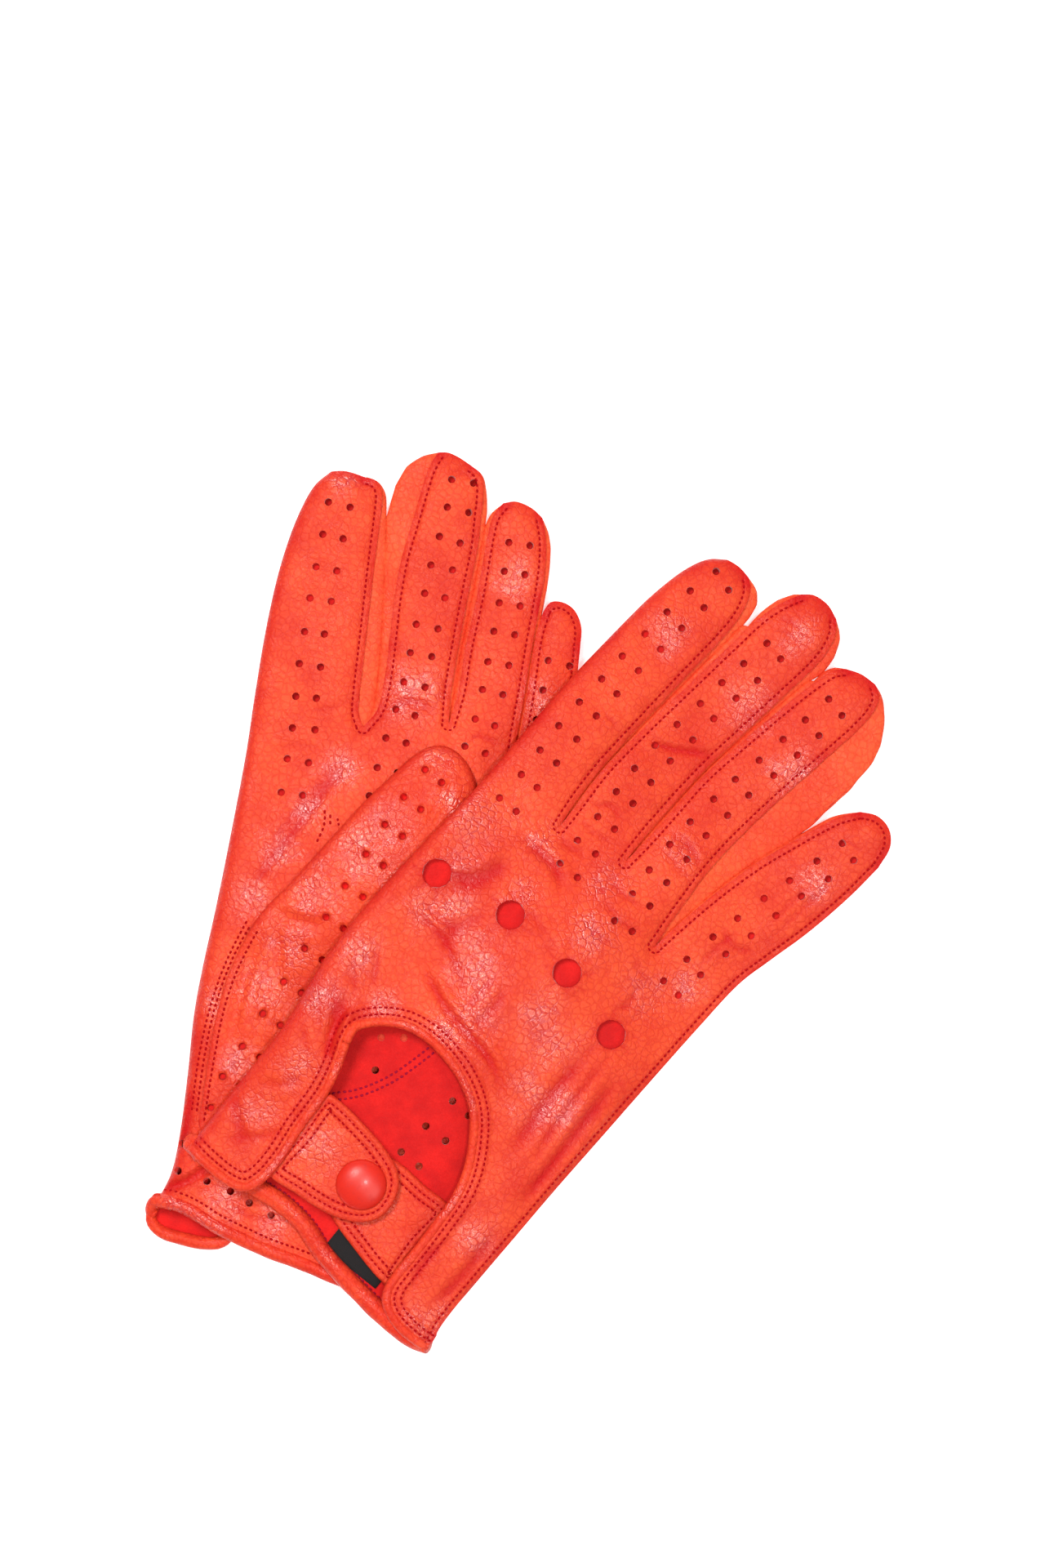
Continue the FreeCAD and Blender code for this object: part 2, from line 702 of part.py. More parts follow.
def build_glove(side):
    back, binding = back_panel_and_binding(side)
    hand = [back, palm_panel(side), binding] + wrist_hems(side) + wrist_fittings(side)
    for piece in hand:
        piece.Placement = hand_place(side)
    pieces = hand + [thumb_gusset(side)] + strap_pieces(side) + thumb_pieces(side)
    for finger in FINGERS:
        pieces += finger_pieces(side, finger)
    return pieces


def check(pieces):
    """Stops before anything is written if an object failed or a piece isn't a sound solid."""
    DOC.recompute()
    for thing in DOC.Objects:
        if "Invalid" in thing.State or "Error" in thing.State:
            raise RuntimeError(f"{thing.Label} failed: {thing.State}")
    for piece in pieces:
        shape = piece.Shape
        if shape.isNull() or not shape.isValid() or not shape.Solids:
            raise RuntimeError(f"{piece.Label} isn't a valid solid")


def main():
    fill_sheet()
    pieces = [piece for side in SIDES for piece in build_glove(side)]
    check(pieces)
    os.makedirs(OUT, exist_ok=True)
    bounds = FreeCAD.BoundBox()
    for piece in pieces:
        bounds.add(piece.Shape.BoundBox)
        piece.Shape.exportStep(f"{OUT}/{piece.Label}.step")
    print(len(pieces), "pieces,", bounds)


main()
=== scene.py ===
"""A pair of red leather driving gloves, for Blender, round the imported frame.

Each glove is drawn in its own frame, in millimetres: u runs across the hand towards the little finger, v
runs up to the fingertips, and z is up from what the glove lies on. Glove.place() carries that frame to the
row frame, in metres.
"""
import json
import math

import bpy
import numpy as np
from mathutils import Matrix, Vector
from mathutils.geometry import delaunay_2d_cdt
from mathutils.kdtree import KDTree


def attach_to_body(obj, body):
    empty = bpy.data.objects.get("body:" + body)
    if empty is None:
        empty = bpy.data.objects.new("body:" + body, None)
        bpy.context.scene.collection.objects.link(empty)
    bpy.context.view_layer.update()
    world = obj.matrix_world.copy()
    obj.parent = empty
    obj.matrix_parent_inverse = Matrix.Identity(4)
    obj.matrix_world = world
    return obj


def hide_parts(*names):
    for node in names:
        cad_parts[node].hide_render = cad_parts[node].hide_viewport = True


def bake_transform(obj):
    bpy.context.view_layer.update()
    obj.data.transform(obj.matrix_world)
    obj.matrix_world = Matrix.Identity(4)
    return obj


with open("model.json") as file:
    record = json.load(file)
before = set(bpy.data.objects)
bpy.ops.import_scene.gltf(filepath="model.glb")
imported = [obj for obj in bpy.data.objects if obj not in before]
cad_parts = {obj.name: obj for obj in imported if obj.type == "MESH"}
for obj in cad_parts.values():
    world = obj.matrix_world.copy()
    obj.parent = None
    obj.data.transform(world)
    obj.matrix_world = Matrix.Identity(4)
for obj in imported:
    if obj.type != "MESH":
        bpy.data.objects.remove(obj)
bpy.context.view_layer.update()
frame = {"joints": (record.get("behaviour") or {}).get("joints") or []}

JOINTS = {joint["child"]: joint for joint in frame["joints"]}
FINGERS = ("index", "middle", "ring", "little")

LEATHER = 0.85              # thickness of the faces
LINING = 0.6                # thickness of the fourchettes
TAB_THICKNESS = 1.5
UPPER_GRID = 1.15           # size of the triangles in an upper face
LOWER_GRID = 1.7            # the same, in a lower face
FLOOR = 0.1                 # a lower face comes no nearer than this to what it lies on
ROLL = 1.3                  # radius of a bound edge
SEAM_INSET = 1.65           # from the edge of a face to its stitches
BINDING_ROWS = (1.9, 3.6)   # from the edge of the back's opening to its stitches
TAB_ROWS = (1.9, 3.7)       # from the edge of a tab to its stitches
HEM_ROW = 3.4               # from the edge of the palm's wrist to its stitches
STITCH_PITCH = 1.45
STITCH_SHARE = 0.6          # of the pitch that a stitch takes up
STITCH_RADIUS = 0.29
STITCH_LIFT = 0.05          # of a stitch's middle above the leather
FINGER_BEND = (-5, 7)       # where a finger's bend starts and ends, along it from the hinge
THUMB_BEND = (-9, 12)
THUMB_BEARING = math.radians(25)
FINGER_ROOT = -6            # where a finger's own piece starts, along it from the hinge

# Edges of the faces, as smooth runs that meet at corners, clockwise from the wrist on the index side.
# Each run starts where the one before it ends. The kinds are fold, side (the hand's own seam), seam (a
# finger's seam) and tip.
EDGES = {
    "right": [
        ("fold", [(-38.9, -3.4), (-39.2, 18), (-39.4, 36), (-42.0, 56), (-42.3, 72), (-41.3, 90),
            (-39.2, 114), (-38.5, 134), (-38.0, 149), (-36.5, 167.5), (-34.8, 182), (-32.2, 192.4),
            (-29.4, 197.6), (-25.5, 200.6)]),
        ("tip", [(-22, 201.0), (-18.4, 200.4)]),
        ("seam", [(-16.2, 198.4), (-14.6, 194.8), (-13.7, 189), (-13.9, 183), (-15.2, 168),
            (-16.4, 152), (-17.3, 138), (-17.0, 127), (-16.2, 120)]),
        ("seam", [(-16.3, 127), (-16.6, 138), (-15.3, 152), (-13.1, 169), (-11.0, 185), (-9.7, 194),
            (-7.6, 200.6), (-5.0, 205.6)]),
        ("tip", [(-2.4, 207.4), (2, 207.7), (6.0, 206.2)]),
        ("seam", [(8.4, 202.6), (9.4, 197), (9.2, 192), (7.8, 182), (6.0, 170), (4.0, 156), (2.9, 142),
            (2.5, 131), (2.6, 123.4)]),
        ("seam", [(3.4, 131), (4.0, 142), (4.6, 153), (7.4, 169), (10.4, 184), (12.2, 191),
            (13.6, 195.2), (16.0, 197.8)]),
        ("tip", [(20, 199.2), (24.4, 199.4)]),
        ("seam", [(27.2, 197.4), (28.4, 193.5), (28.2, 188), (26.6, 178), (24.2, 164), (22.0, 149),
            (20.9, 136), (21.4, 121), (22.2, 111.2)]),
        ("seam", [(23.6, 120), (26.0, 132), (29.6, 145), (33.2, 154.5), (36.2, 162), (38.6, 167.0),
            (42.0, 171.4)]),
        ("tip", [(46, 173.3), (50.4, 172.6), (53.6, 169.2), (54.6, 163)]),
        ("side", [(53.5, 152.5), (50.9, 138.5), (47.8, 127), (45.4, 117.5), (44.2, 102), (43.4, 88),
            (42.2, 64), (41.3, 46), (40.8, 30), (40.3, 14), (40.1, 6), (40.4, 0), (41.1, -3),
            (41.0, -5.6)]),
    ],
    "left": [
        ("fold", [(-39.4, 6.2), (-37.0, 14), (-36.5, 24), (-37.2, 40), (-38.3, 56), (-38.2, 68),
            (-37.5, 84), (-37.0, 104), (-36.8, 124), (-37.2, 140), (-37.3, 158), (-36.4, 174),
            (-34.2, 187), (-31.3, 195.4), (-27.8, 199.6)]),
        ("tip", [(-24, 200.3), (-18.6, 199.6)]),
        ("seam", [(-15.6, 199.0), (-13.9, 196.6), (-13.2, 190), (-12.7, 180), (-12.0, 168),
            (-11.2, 155), (-10.6, 145), (-10.0, 139.5), (-8.2, 136.2)]),
        ("seam", [(-5.4, 141), (-4.9, 150), (-5.4, 160), (-6.0, 170), (-6.0, 180), (-4.9, 190),
            (-3.9, 199), (-3.0, 205), (-1.4, 209.2)]),
        ("tip", [(1.0, 209.6), (4, 208.9), (7.4, 207.4)]),
        ("seam", [(10.6, 205.4), (11.9, 201), (12.4, 194), (12.9, 187), (12.6, 176), (12.4, 160),
            (12.6, 148), (13.4, 140.8)]),
        ("seam", [(14.4, 149), (14.3, 160), (14.9, 175), (14.9, 190), (15.4, 195.6), (17.4, 199.2)]),
        ("tip", [(20.5, 200.2), (24.9, 199.2), (28.0, 197.2)]),
        ("seam", [(29.8, 192), (30.8, 186), (31.2, 176), (31.1, 164), (31.3, 152), (31.2, 141),
            (31.5, 132.6)]),
        ("seam", [(32.1, 144), (31.9, 156), (31.6, 166), (32.4, 173.6)]),
        ("tip", [(33.8, 176.2), (37.0, 176.7), (40.2, 175.3), (42.7, 171.4), (43.4, 166)]),
        ("side", [(44.2, 155), (45.4, 140), (46.4, 124), (45.6, 104), (45.2, 84), (44.2, 58),
            (43.2, 36), (41.4, 20), (37.6, 5), (35.6, -5.4)]),
    ],
}
# How far each finger's side strip stands out past its seam: (v, distance), by the seam's number.
BULGES = {
    "right": {
        0: [(186, 1.3), (192, 2.4), (195.5, 2.7), (198, 1.8), (200.4, 0.0)],
        1: [(190, 0.3), (195, 0.9), (200, 1.2), (204, 0.8), (205.6, 0.0)],
        2: [(188, 1.3), (193, 2.7), (198, 2.5), (202, 1.7), (206.2, 0.0)],
        3: [(190, 0.5), (193, 1.0), (196, 0.7), (197.8, 0.0)],
        4: [(111, 0.6), (119, 2.3), (131, 4.9), (147, 8.0), (156, 10.2), (165, 10.6), (176.3, 10.2),
            (184.5, 9.0), (189, 7.0), (191.6, 5.0), (194.7, 2.6), (197.4, 0.9), (199.4, 0.0)],
        5: [(111, 0.3), (150, 0.6), (165, 0.8), (171.4, 0.0)],
    },
    "left": {
        0: [(134.5, 0.6), (137, 2.6), (140, 4.2), (145, 4.3), (150, 4.2), (165, 3.8), (180, 2.8),
            (190, 1.6), (196, 0.9), (199, 0.2)],
        1: [(134.5, 0.4), (137, 0.9), (140, 1.2), (145, 1.6), (150, 1.9), (165, 2.6), (180, 4.3),
            (190, 6.9), (198, 7.0), (203.5, 5.4), (207, 2.6), (209.2, 0.0)],
        2: [(190, 1.3), (196, 1.4), (201, 0.8), (207, 0.0)],
        3: [(186, 1.1), (192, 1.3), (196, 0.7), (199, 0.0)],
        4: [(133, 0.3), (150, 0.6), (165, 0.8), (180, 1.2), (190, 1.2), (194, 0.8), (197.2, 0.0)],
    },
}
# The back's wrist: its hem, the notch, and the round opening above it, from the little side round.
BACK_WRIST = [
    [(41.0, -5.6), (36.5, -5.8), (32.0, -5.5), (28.4, -4.5), (25.4, -2.6), (23.8, 0.4), (23.4, 5),
        (23.4, 12), (23.1, 22), (22.5, 30), (20.6, 36.6), (16.6, 43.9), (12.3, 49.3), (6.8, 53.1),
        (0.5, 55.5), (-8.6, 56.8), (-15.6, 55.5), (-21.8, 51.4), (-25.0, 46.9), (-24.4, 42.6)],
    [(-24.4, 42.6), (-22.2, 36), (-20.7, 29), (-20.1, 18), (-19.0, 8), (-19.6, 1), (-21.4, -2.6),
        (-25.4, -3.9), (-32, -4.0), (-38.9, -3.4)],
]
# The left back differs at the two ends of its hem only.
LEFT_BACK_WRIST = [
    [(35.6, -5.4), (32, -5.7)] + BACK_WRIST[0][3:],
    BACK_WRIST[1][:-4] + [(-21.4, -1.2), (-25.4, -2.2), (-32, -2.0), (-37, -1.2), (-39.8, 0.8),
                          (-40.3, 3.6), (-39.4, 6.2)],
]
WRISTS = {
    ("right", "back"): BACK_WRIST,
    ("left", "back"): LEFT_BACK_WRIST,
    ("right", "palm"): [[(41.0, -5.6), (37.5, -7.0), (32, -7.4), (26, -7.2), (20, -6.6), (12, -5.6),
        (4, -4.2), (-4, -1.7), (-12, -1.2), (-20, -2.2), (-30, -3.2), (-38.9, -3.4)]],
    ("left", "palm"): [[(35.6, -5.4), (28, -6.6), (18, -6.4), (8, -4.6), (-1, -2.6), (-9, -1.2),
        (-16, 0.6), (-23, 2.6), (-30.5, 5.6), (-35, 6.6), (-39.4, 6.2)]],
}
KNUCKLE_HOLES = [(-33.2, 90.9), (-11.9, 94.3), (8.7, 91.8), (27.5, 86.5)]
KNUCKLE_RADIUS = 3.8
PERFORATION = 1.0
# Rows of paired perforations: the middles of some of the pairs, from the tip down, and how many pairs.
PERFORATIONS = {
    ("right", "index"): ([(-23.2, 195.4), (-25.2, 188.2), (-27.2, 172.7), (-28.9, 156.7),
        (-29.7, 141.1), (-29.6, 124.3), (-30.0, 115.9)], 11),
    ("right", "middle"): ([(-1.4, 189.6), (-4.1, 173.7), (-6.4, 158.5), (-7.8, 143.5), (-7.6, 127.9),
        (-7.4, 112.6)], 11),
    ("right", "ring"): ([(19.8, 188.2), (17.2, 172.5), (14.2, 156.9), (12.1, 141.5), (11.6, 125.9),
        (12.5, 110.2)], 11),
    ("right", "little"): ([(45.9, 161.3), (40.9, 144.4), (37, 129), (33.3, 113.3), (32.3, 105.4)], 8),
    ("left", "index"): ([(-24.2, 191.4), (-24.7, 173.6), (-24.7, 156.5), (-23.9, 141.5), (-23.2, 133),
        (-23.1, 116)], 10),
    ("left", "middle"): ([(6, 203), (6.2, 195.5), (4.7, 180.2), (3.6, 165.4), (3, 150.2), (0.9, 134.2),
        (-0.8, 118.7)], 12),
    ("left", "ring"): ([(23.4, 189.4), (23.4, 173.8), (23.5, 158.4), (22.6, 142.9), (21.2, 135.4)], 8),
    ("left", "little"): ([(38.6, 161.0), (38.0, 138.0)], 4),
}
PAIR_WIDTH = 5.5
THUMB_PAIR_WIDTH = 5.4
PALM_HOLES = {
    "right": [(-13.9, 41.5), (6.5, 47.7), (12.1, 47.3), (5.2, 38.4), (11.5, 38.6), (4.4, 29.2),
        (10.3, 29.2), (-13.4, 52.6), (-18.0, 49.0)],
    "left": [(-35.4, 22.3), (-35.2, 15.3), (-21, 12.5), (-15.7, 10.4), (-27.4, 14.0), (-9.6, 8.2),
        (21.4, 112.0), (27.0, 112.4), (20.8, 102.8), (26.4, 103.2)],
}
# Creases of the upper faces: a path, how deep it is, and how wide.
CREASES = {
    ("right", 1): [
        ([(-24, 71), (-19, 69), (-14, 67), (-8, 65), (0, 63.6), (7, 62.2), (12, 59.6), (17, 55.6)],
            0.6, 1.1),
        ([(-35, 78.6), (-28, 79.6), (-21, 78.6), (-15, 76), (-10.5, 73), (-8, 69.6)], 0.42, 0.8),
        ([(-32, 83.4), (-26, 82.4), (-20, 82.8)], 0.32, 0.9),
        ([(-30.5, 91), (-26.5, 93.4), (-22.6, 98.4), (-20.4, 106)], 0.6, 2.2),
        ([(-8, 98), (-2, 96.4), (4, 94.2)], 0.25, 0.6),
        ([(-8, 92.8), (-3, 94.6), (4, 92.6)], 0.2, 0.5),
        ([(-9, 91), (-5, 89.4), (0, 89.8)], 0.2, 0.5),
        ([(-5.6, 81), (-5.2, 74), (-6, 67)], 0.4, 1.0),
        ([(-1, 80), (-0.4, 72), (-1.6, 65.6)], 0.35, 1.2),
        ([(-16, 92), (-19.6, 84), (-20.5, 76)], 0.35, 2.0),
        ([(26.2, 82), (25.6, 70), (26, 58), (26.6, 44)], 0.5, 2.2),
        ([(30.6, 84), (30.4, 72), (31, 60), (32, 46)], 0.35, 1.4),
        ([(36.2, 80), (36.4, 64), (36.6, 50), (36.6, 34)], 0.55, 1.6),
        ([(36.2, 30), (36.4, 16), (35.6, 2)], 0.4, 1.5),
        ([(24.4, 91.4), (26.2, 96), (24.6, 101.6)], 0.3, 0.8),
        ([(19, 106), (24, 103.6), (30, 103)], 0.25, 0.6),
        ([(-22, 112), (-16, 111.4), (-10, 110.6), (-5, 107)], 0.5, 1.5),
        ([(-15, 119), (-11.6, 117), (-7, 118.6)], 0.35, 0.8),
        ([(2, 118), (8, 116.4), (15, 117.6)], 0.3, 0.6),
        ([(4, 112.6), (11, 110.8), (19, 111.6)], 0.3, 0.7),
        ([(3, 106), (10, 104.6), (17, 105.6)], 0.22, 0.6),
        ([(-31.6, 53), (-29.8, 46), (-27.4, 40), (-24, 34.6)], 0.9, 1.5),
        ([(-37, 61), (-33, 57), (-29.6, 53)], 0.3, 0.7),
        ([(-37, 54), (-33.6, 50), (-31, 45)], 0.35, 0.7),
        ([(-37, 47.6), (-33.6, 43.4), (-30, 39)], 0.3, 0.7),
        ([(-36.6, 40), (-32, 36), (-28, 33)], 0.25, 0.7),
        ([(-34, 67), (-30, 62), (-27.6, 57)], 0.35, 0.8),
        ([(-38, 14.6), (-34, 10), (-29, 6.6)], 0.35, 1.4),
        ([(-33, 4), (-27, 9), (-22.6, 15)], 0.3, 1.2),
        ([(-26, 30), (-30, 24), (-36, 20)], 0.25, 1.2),
        ([(-13, 151.6), (-7, 153), (-1, 156.4), (3, 159.4)], 0.6, 0.9),
        ([(-8, 196.6), (-2, 198.2), (5, 197)], 0.25, 0.6),
        ([(-8, 194), (-1, 195.4), (7, 194)], 0.2, 0.5),
        ([(-26, 150), (-22, 149.4), (-18.4, 148.4)], 0.22, 0.6),
        ([(7, 136.6), (12, 137), (19, 134.6)], 0.32, 0.8),
        ([(8, 131.6), (14, 131), (20, 130)], 0.22, 0.6),
        ([(-13, 129), (-9, 132.4), (-5, 131)], 0.32, 0.8),
        ([(-14, 125), (-8, 124), (-2, 125.6)], 0.28, 0.7),
        ([(44, 150), (42.6, 142), (41.6, 133)], 0.3, 0.7),
        ([(47.4, 152), (46, 142), (44.4, 132)], 0.25, 0.6),
        ([(37, 128), (35, 121), (34, 114)], 0.25, 0.8),
        ([(41.6, 165.2), (45, 163.4), (49, 164.4)], 0.25, 0.6),
        ([(32, 126), (38, 124), (44, 126.6)], 0.3, 0.9),
        ([(27.4, 20), (27, 10), (29, 3)], 0.3, 1.2),
    ],
    ("left", 1): [
        ([(-9.5, 131), (-13, 122.5), (-18, 112), (-23, 102.5), (-27.5, 94), (-30, 87)], 0.5, 1.3),
        ([(-12.5, 128), (-18, 117), (-24, 106.5), (-29, 97)], 0.3, 1.2),
        ([(-38.6, 9.0), (-33, 12.6), (-28.5, 16.8), (-25.5, 20)], 0.85, 1.2),
        ([(-28, 18), (-21, 15.5), (-15, 14.5)], 0.45, 1.0),
        ([(-22, 9.4), (-14, 7), (-6, 6.8)], 0.3, 0.8),
        ([(-35.4, 19), (-34.8, 28), (-35.4, 38)], 0.35, 0.9),
        ([(-22, 138), (-17, 139.4), (-13, 143)], 0.25, 0.9),
        ([(-3, 141.2), (3, 144.6), (10, 143)], 0.4, 1.2),
        ([(2, 205.5), (6, 204.6), (10, 203.4)], 0.25, 0.6),
        ([(18, 137), (22, 139), (28, 137.4)], 0.3, 0.8),
        ([(-30, 126), (-24, 128.6), (-17, 128)], 0.2, 1.0),
    ],
}
THUMB_CREASES = [
    ([(15, 130.5), (15.4, 124), (13.6, 117), (11.6, 111.5)], 0.75, 1.2),
    ([(9, 129.5), (13, 127.6), (17.5, 127.2)], 0.35, 0.8),
    ([(19.4, 129), (17.6, 123.6), (16.4, 118.6)], 0.35, 0.8),
    ([(-23, 85.6), (-18, 84.5), (-12, 83.8), (-7, 84.6)], 0.65, 1.7),
    ([(-24.5, 79.6), (-26.2, 71), (-27.4, 61), (-27.8, 50)], 0.8, 1.5),
    ([(-21.4, 82.6), (-19.2, 76), (-18.6, 69)], 0.45, 1.0),
    ([(-21.4, 67), (-20.6, 58), (-22.4, 49)], 0.45, 1.1),
    ([(-16, 98), (-10.5, 97), (-6, 93.6)], 0.3, 1.0),
    ([(-8, 108), (-4.6, 104), (-5.2, 99)], 0.35, 1.0),
    ([(-24, 44), (-22, 38), (-19, 33)], 0.35, 1.0),
]
# Where the leather shines most: (u, v, radius), on the upper faces by side, and on the left thumb.
GLAZED = {
    "right": [(27, 101, 5), (34, 108, 4), (16, 76, 6), (-6, 60, 4), (33, 24, 4), (-30, 30, 4),
        (-34, 108, 7), (-30, 97, 5), (-15, 83, 4), (-13, 100, 4), (7, 104, 6), (2, 116, 5), (20, 62, 5),
        (-37, 62, 5), (-36.5, 48, 5), (-9, 77, 6), (-3, 68, 6), (-28, 83, 5), (-24, 88, 4),
        (-17, 114, 4), (2, 175, 5), (2, 197, 4), (22, 168, 5), (12, 134, 4), (-25, 176, 4), (10, 79, 5),
        (-31, 14, 4), (37, 0, 4), (-22, 55, 3), (44, 150, 4), (30, 62, 5)],
    "left": [(3, 147, 6), (-12, 124, 4), (-18, 113, 4), (-24, 101, 4), (-29, 88, 4), (-24, 198, 3),
        (24, 180, 4), (-22, 10, 4), (-8, 6, 4), (36, 150, 4), (-33, 60, 4)],
    "thumb": [(-2, 104, 7), (2, 112, 6), (12, 131, 4), (19, 122, 4), (-14, 93, 6), (-22, 66, 6),
        (-24, 46, 4), (-18, 78, 5)],
}

# --- frames ---------------------------------------------------------------------------------------


def smooth(x):
    x = np.clip(x, 0.0, 1.0)
    return x * x * (3 - 2 * x)


def bell(x, middle, width):
    """1 at middle, falling away on both sides over about width."""
    return np.exp(-((x - middle) / width) ** 2)


def rounded(gap, width):
    """0 at an edge, rising like a quarter circle to 1 at width from it."""
    x = 1 - np.clip(gap / width, 0, 1)
    return np.sqrt(1 - x * x)


def sloped(gap, width):
    """0 at an edge, rising more gently to 1 at width from it."""
    return 1 - (1 - np.clip(gap / width, 0, 1)) ** 2.3


class Glove:
    """The frame of one glove, and how its soft body lies over what is under it."""

    def __init__(self, side, origin, bearing, hand, fingers, lift=0.0, drape=((-200, 0), (200, 0)), bumps=()):
        self.side, self.origin = side, np.array(origin)
        turn = math.radians(bearing)
        self.across = np.array([math.sin(turn), -math.cos(turn)])
        self.along = np.array([math.cos(turn), math.sin(turn)])
        self.hand, self.fingers, self.lift, self.bumps = hand, fingers, lift, bumps
        x, z = np.array(drape, float).T
        self.drape_x = np.linspace(x[0], x[-1], 400)
        bent = np.interp(self.drape_x, x, z)
        window = np.hanning(37)
        self.drape_z = np.convolve(np.pad(bent, 18, mode="edge"), window / window.sum(), mode="valid")

    def rise(self, flat):
        """How far the underside is above the table, at row-frame points in millimetres."""
        height = np.interp(flat[:, 0], self.drape_x, self.drape_z)
        for line, amount, width in self.bumps:
            height = height + amount * bell(nearest(flat, np.array(line, float))[0], 0, width)
        return height

    def flat(self, points):
        return self.origin + points[:, :1] * self.across + points[:, 1:2] * self.along

    def place(self, points):
        """(u, v, z) in the glove's frame, to the row frame in metres."""
        points = np.asarray(points, float)
        flat = self.flat(points)
        return np.column_stack((flat, points[:, 2] + self.rise(flat))) / 1000

    def turn(self, normals, points):
        """Normals at (u, v, z) points, carried to the row frame."""
        flat = self.flat(points)
        turned = normals[:, :1] * self.across + normals[:, 1:2] * self.along
        for axis, step in enumerate(((0.5, 0), (0, 0.5))):
            turned[:, axis] -= (self.rise(flat + step) - self.rise(flat - step)) * normals[:, 2]
        turned = np.column_stack((turned, normals[:, 2]))
        return turned / np.maximum(np.linalg.norm(turned, axis=1), 1e-9)[:, None]

    def plan(self, row):
        """(u, v) of a point of the row frame, given in metres."""
        offset = np.array(row[:2]) * 1000 - self.origin
        return np.array([offset @ self.across, offset @ self.along])


# The right glove lies across the left one: the height of its underside along the row frame's x, and the
# swells, as (line, height, width), where it goes over the left thumb, its own, and the left little finger.
DRAPE = ((-110, 7.6), (-84, 8.3), (-50, 8.6), (-20, 8.6), (-6, 7.8), (10, 6.2), (21, 4.0), (33, 1.7),
         (46, 0.5), (62, 0.1), (110, 0.0))
SWELLS = (([(-62, -30), (-24, 28)], 3.4, 17.0), ([(-30, -45), (34, 2)], 3.1, 18.0),
          ([(10, 36), (38, 64)], 2.0, 13.0))
GLOVES = {
    "right": Glove("right", (-53.75, -84.9), 51.2, hand=7.6, fingers=5.2, drape=DRAPE, bumps=SWELLS),
    "left": Glove("left", (-57.5, -91.2), 80.0, hand=6.6, fingers=5.2, lift=0.6),
}


# --- curves ---------------------------------------------------------------------------------------


def spline(points, step=1.0):
    """A smooth open curve through points, cut into pieces about step long."""
    p = np.asarray(points, float)
    p = np.vstack((2 * p[0] - p[1], p, 2 * p[-1] - p[-2]))
    fine = []
    for i in range(1, len(p) - 2):
        row = p[i - 1:i + 3]
        knots = [0.0]
        for a, b in zip(row, row[1:]):
            knots.append(knots[-1] + max(np.linalg.norm(b - a), 1e-6) ** 0.5)
        t = np.linspace(knots[1], knots[2], 24, endpoint=False)[:, None]
        for starts, ends in ((knots[:3], knots[1:]), (knots[:2], knots[2:]), (knots[1:2], knots[2:3])):
            row = [(t1 - t) / (t1 - t0) * a + (t - t0) / (t1 - t0) * b
                   for a, b, t0, t1 in zip(row, row[1:], starts, ends)]
        fine.append(row[0])
    return even(np.vstack(fine + [p[-2][None]]), step)


def even(path, step):
    """path, cut into equal pieces about step long."""
    lengths = np.concatenate(([0], np.cumsum(np.linalg.norm(np.diff(path, axis=0), axis=1))))
    count = max(int(round(lengths[-1] / step)), 1)
    where = np.linspace(0, lengths[-1], count + 1)
    return np.column_stack([np.interp(where, lengths, path[:, k]) for k in range(path.shape[1])])


def tangents(path):
    step = np.gradient(path, axis=0)
    return step / np.maximum(np.linalg.norm(step, axis=1), 1e-9)[:, None]


def left_of(toward):
    """Directions, turned a quarter turn to the left."""
    return np.column_stack((-toward[:, 1], toward[:, 0]))


def beside(path, distance):
    """path, moved to its right by distance, which is inwards on a clockwise outline."""
    return path - left_of(tangents(path)) * np.reshape(distance, (-1, 1))


def closed_path(loop):
    """A loop, with its first point again at its end."""
    return np.vstack((loop, loop[:1]))


def circle(count):
    """Points evenly round the unit circle."""
    angles = np.linspace(0, 2 * math.pi, count, endpoint=False)
    return np.column_stack((np.cos(angles), np.sin(angles)))


def nearest(points, path):
    """For each point: its distance to path, how far along path it is (0 to 1), and its side (+ is left)."""
    a, b = path[:-1], path[1:]
    span = b - a
    square = np.maximum((span ** 2).sum(axis=1), 1e-12)
    lengths = np.concatenate(([0], np.cumsum(np.sqrt(square))))
    result = np.empty((len(points), 3))
    for start in range(0, len(points), 4000):
        p = points[start:start + 4000]
        offset = p[:, None, :] - a[None]
        t = np.clip((offset * span).sum(axis=2) / square, 0, 1)
        gap = offset - t[:, :, None] * span
        distance = (gap ** 2).sum(axis=2)
        best = distance.argmin(axis=1)
        rows = np.arange(len(p))
        ahead = t[rows, best]
        side = span[best, 0] * gap[rows, best, 1] - span[best, 1] * gap[rows, best, 0]
        along = (lengths[best] + ahead * np.sqrt(square[best])) / lengths[-1]
        result[start:start + 4000] = np.column_stack((np.sqrt(distance[rows, best]), along, np.sign(side)))
    return result.T


def close_to(points, path, reach):
    """nearest for the points within reach of path's box. The others get a distance of 1000."""
    result = (np.full(len(points), 1000.0), np.zeros(len(points)), np.zeros(len(points)))
    close = ((points > path.min(axis=0) - reach) & (points < path.max(axis=0) + reach)).all(axis=1)
    if close.any():
        for whole, part in zip(result, nearest(points[close], path)):
            whole[close] = part
    return result


def inside(points, loop):
    """True for each point inside a closed loop."""
    a, b = loop, np.roll(loop, -1, axis=0)
    result = np.zeros(len(points), bool)
    for start in range(0, len(points), 4000):
        x, y = points[start:start + 4000].T[:, :, None]
        crosses = (a[:, 1] > y) != (b[:, 1] > y)
        with np.errstate(divide="ignore", invalid="ignore"):
            at = a[:, 0] + (y - a[:, 1]) * (b[:, 0] - a[:, 0]) / (b[:, 1] - a[:, 1])
        result[start:start + 4000] = (crosses & (x < at)).sum(axis=1) % 2 == 1
    return result


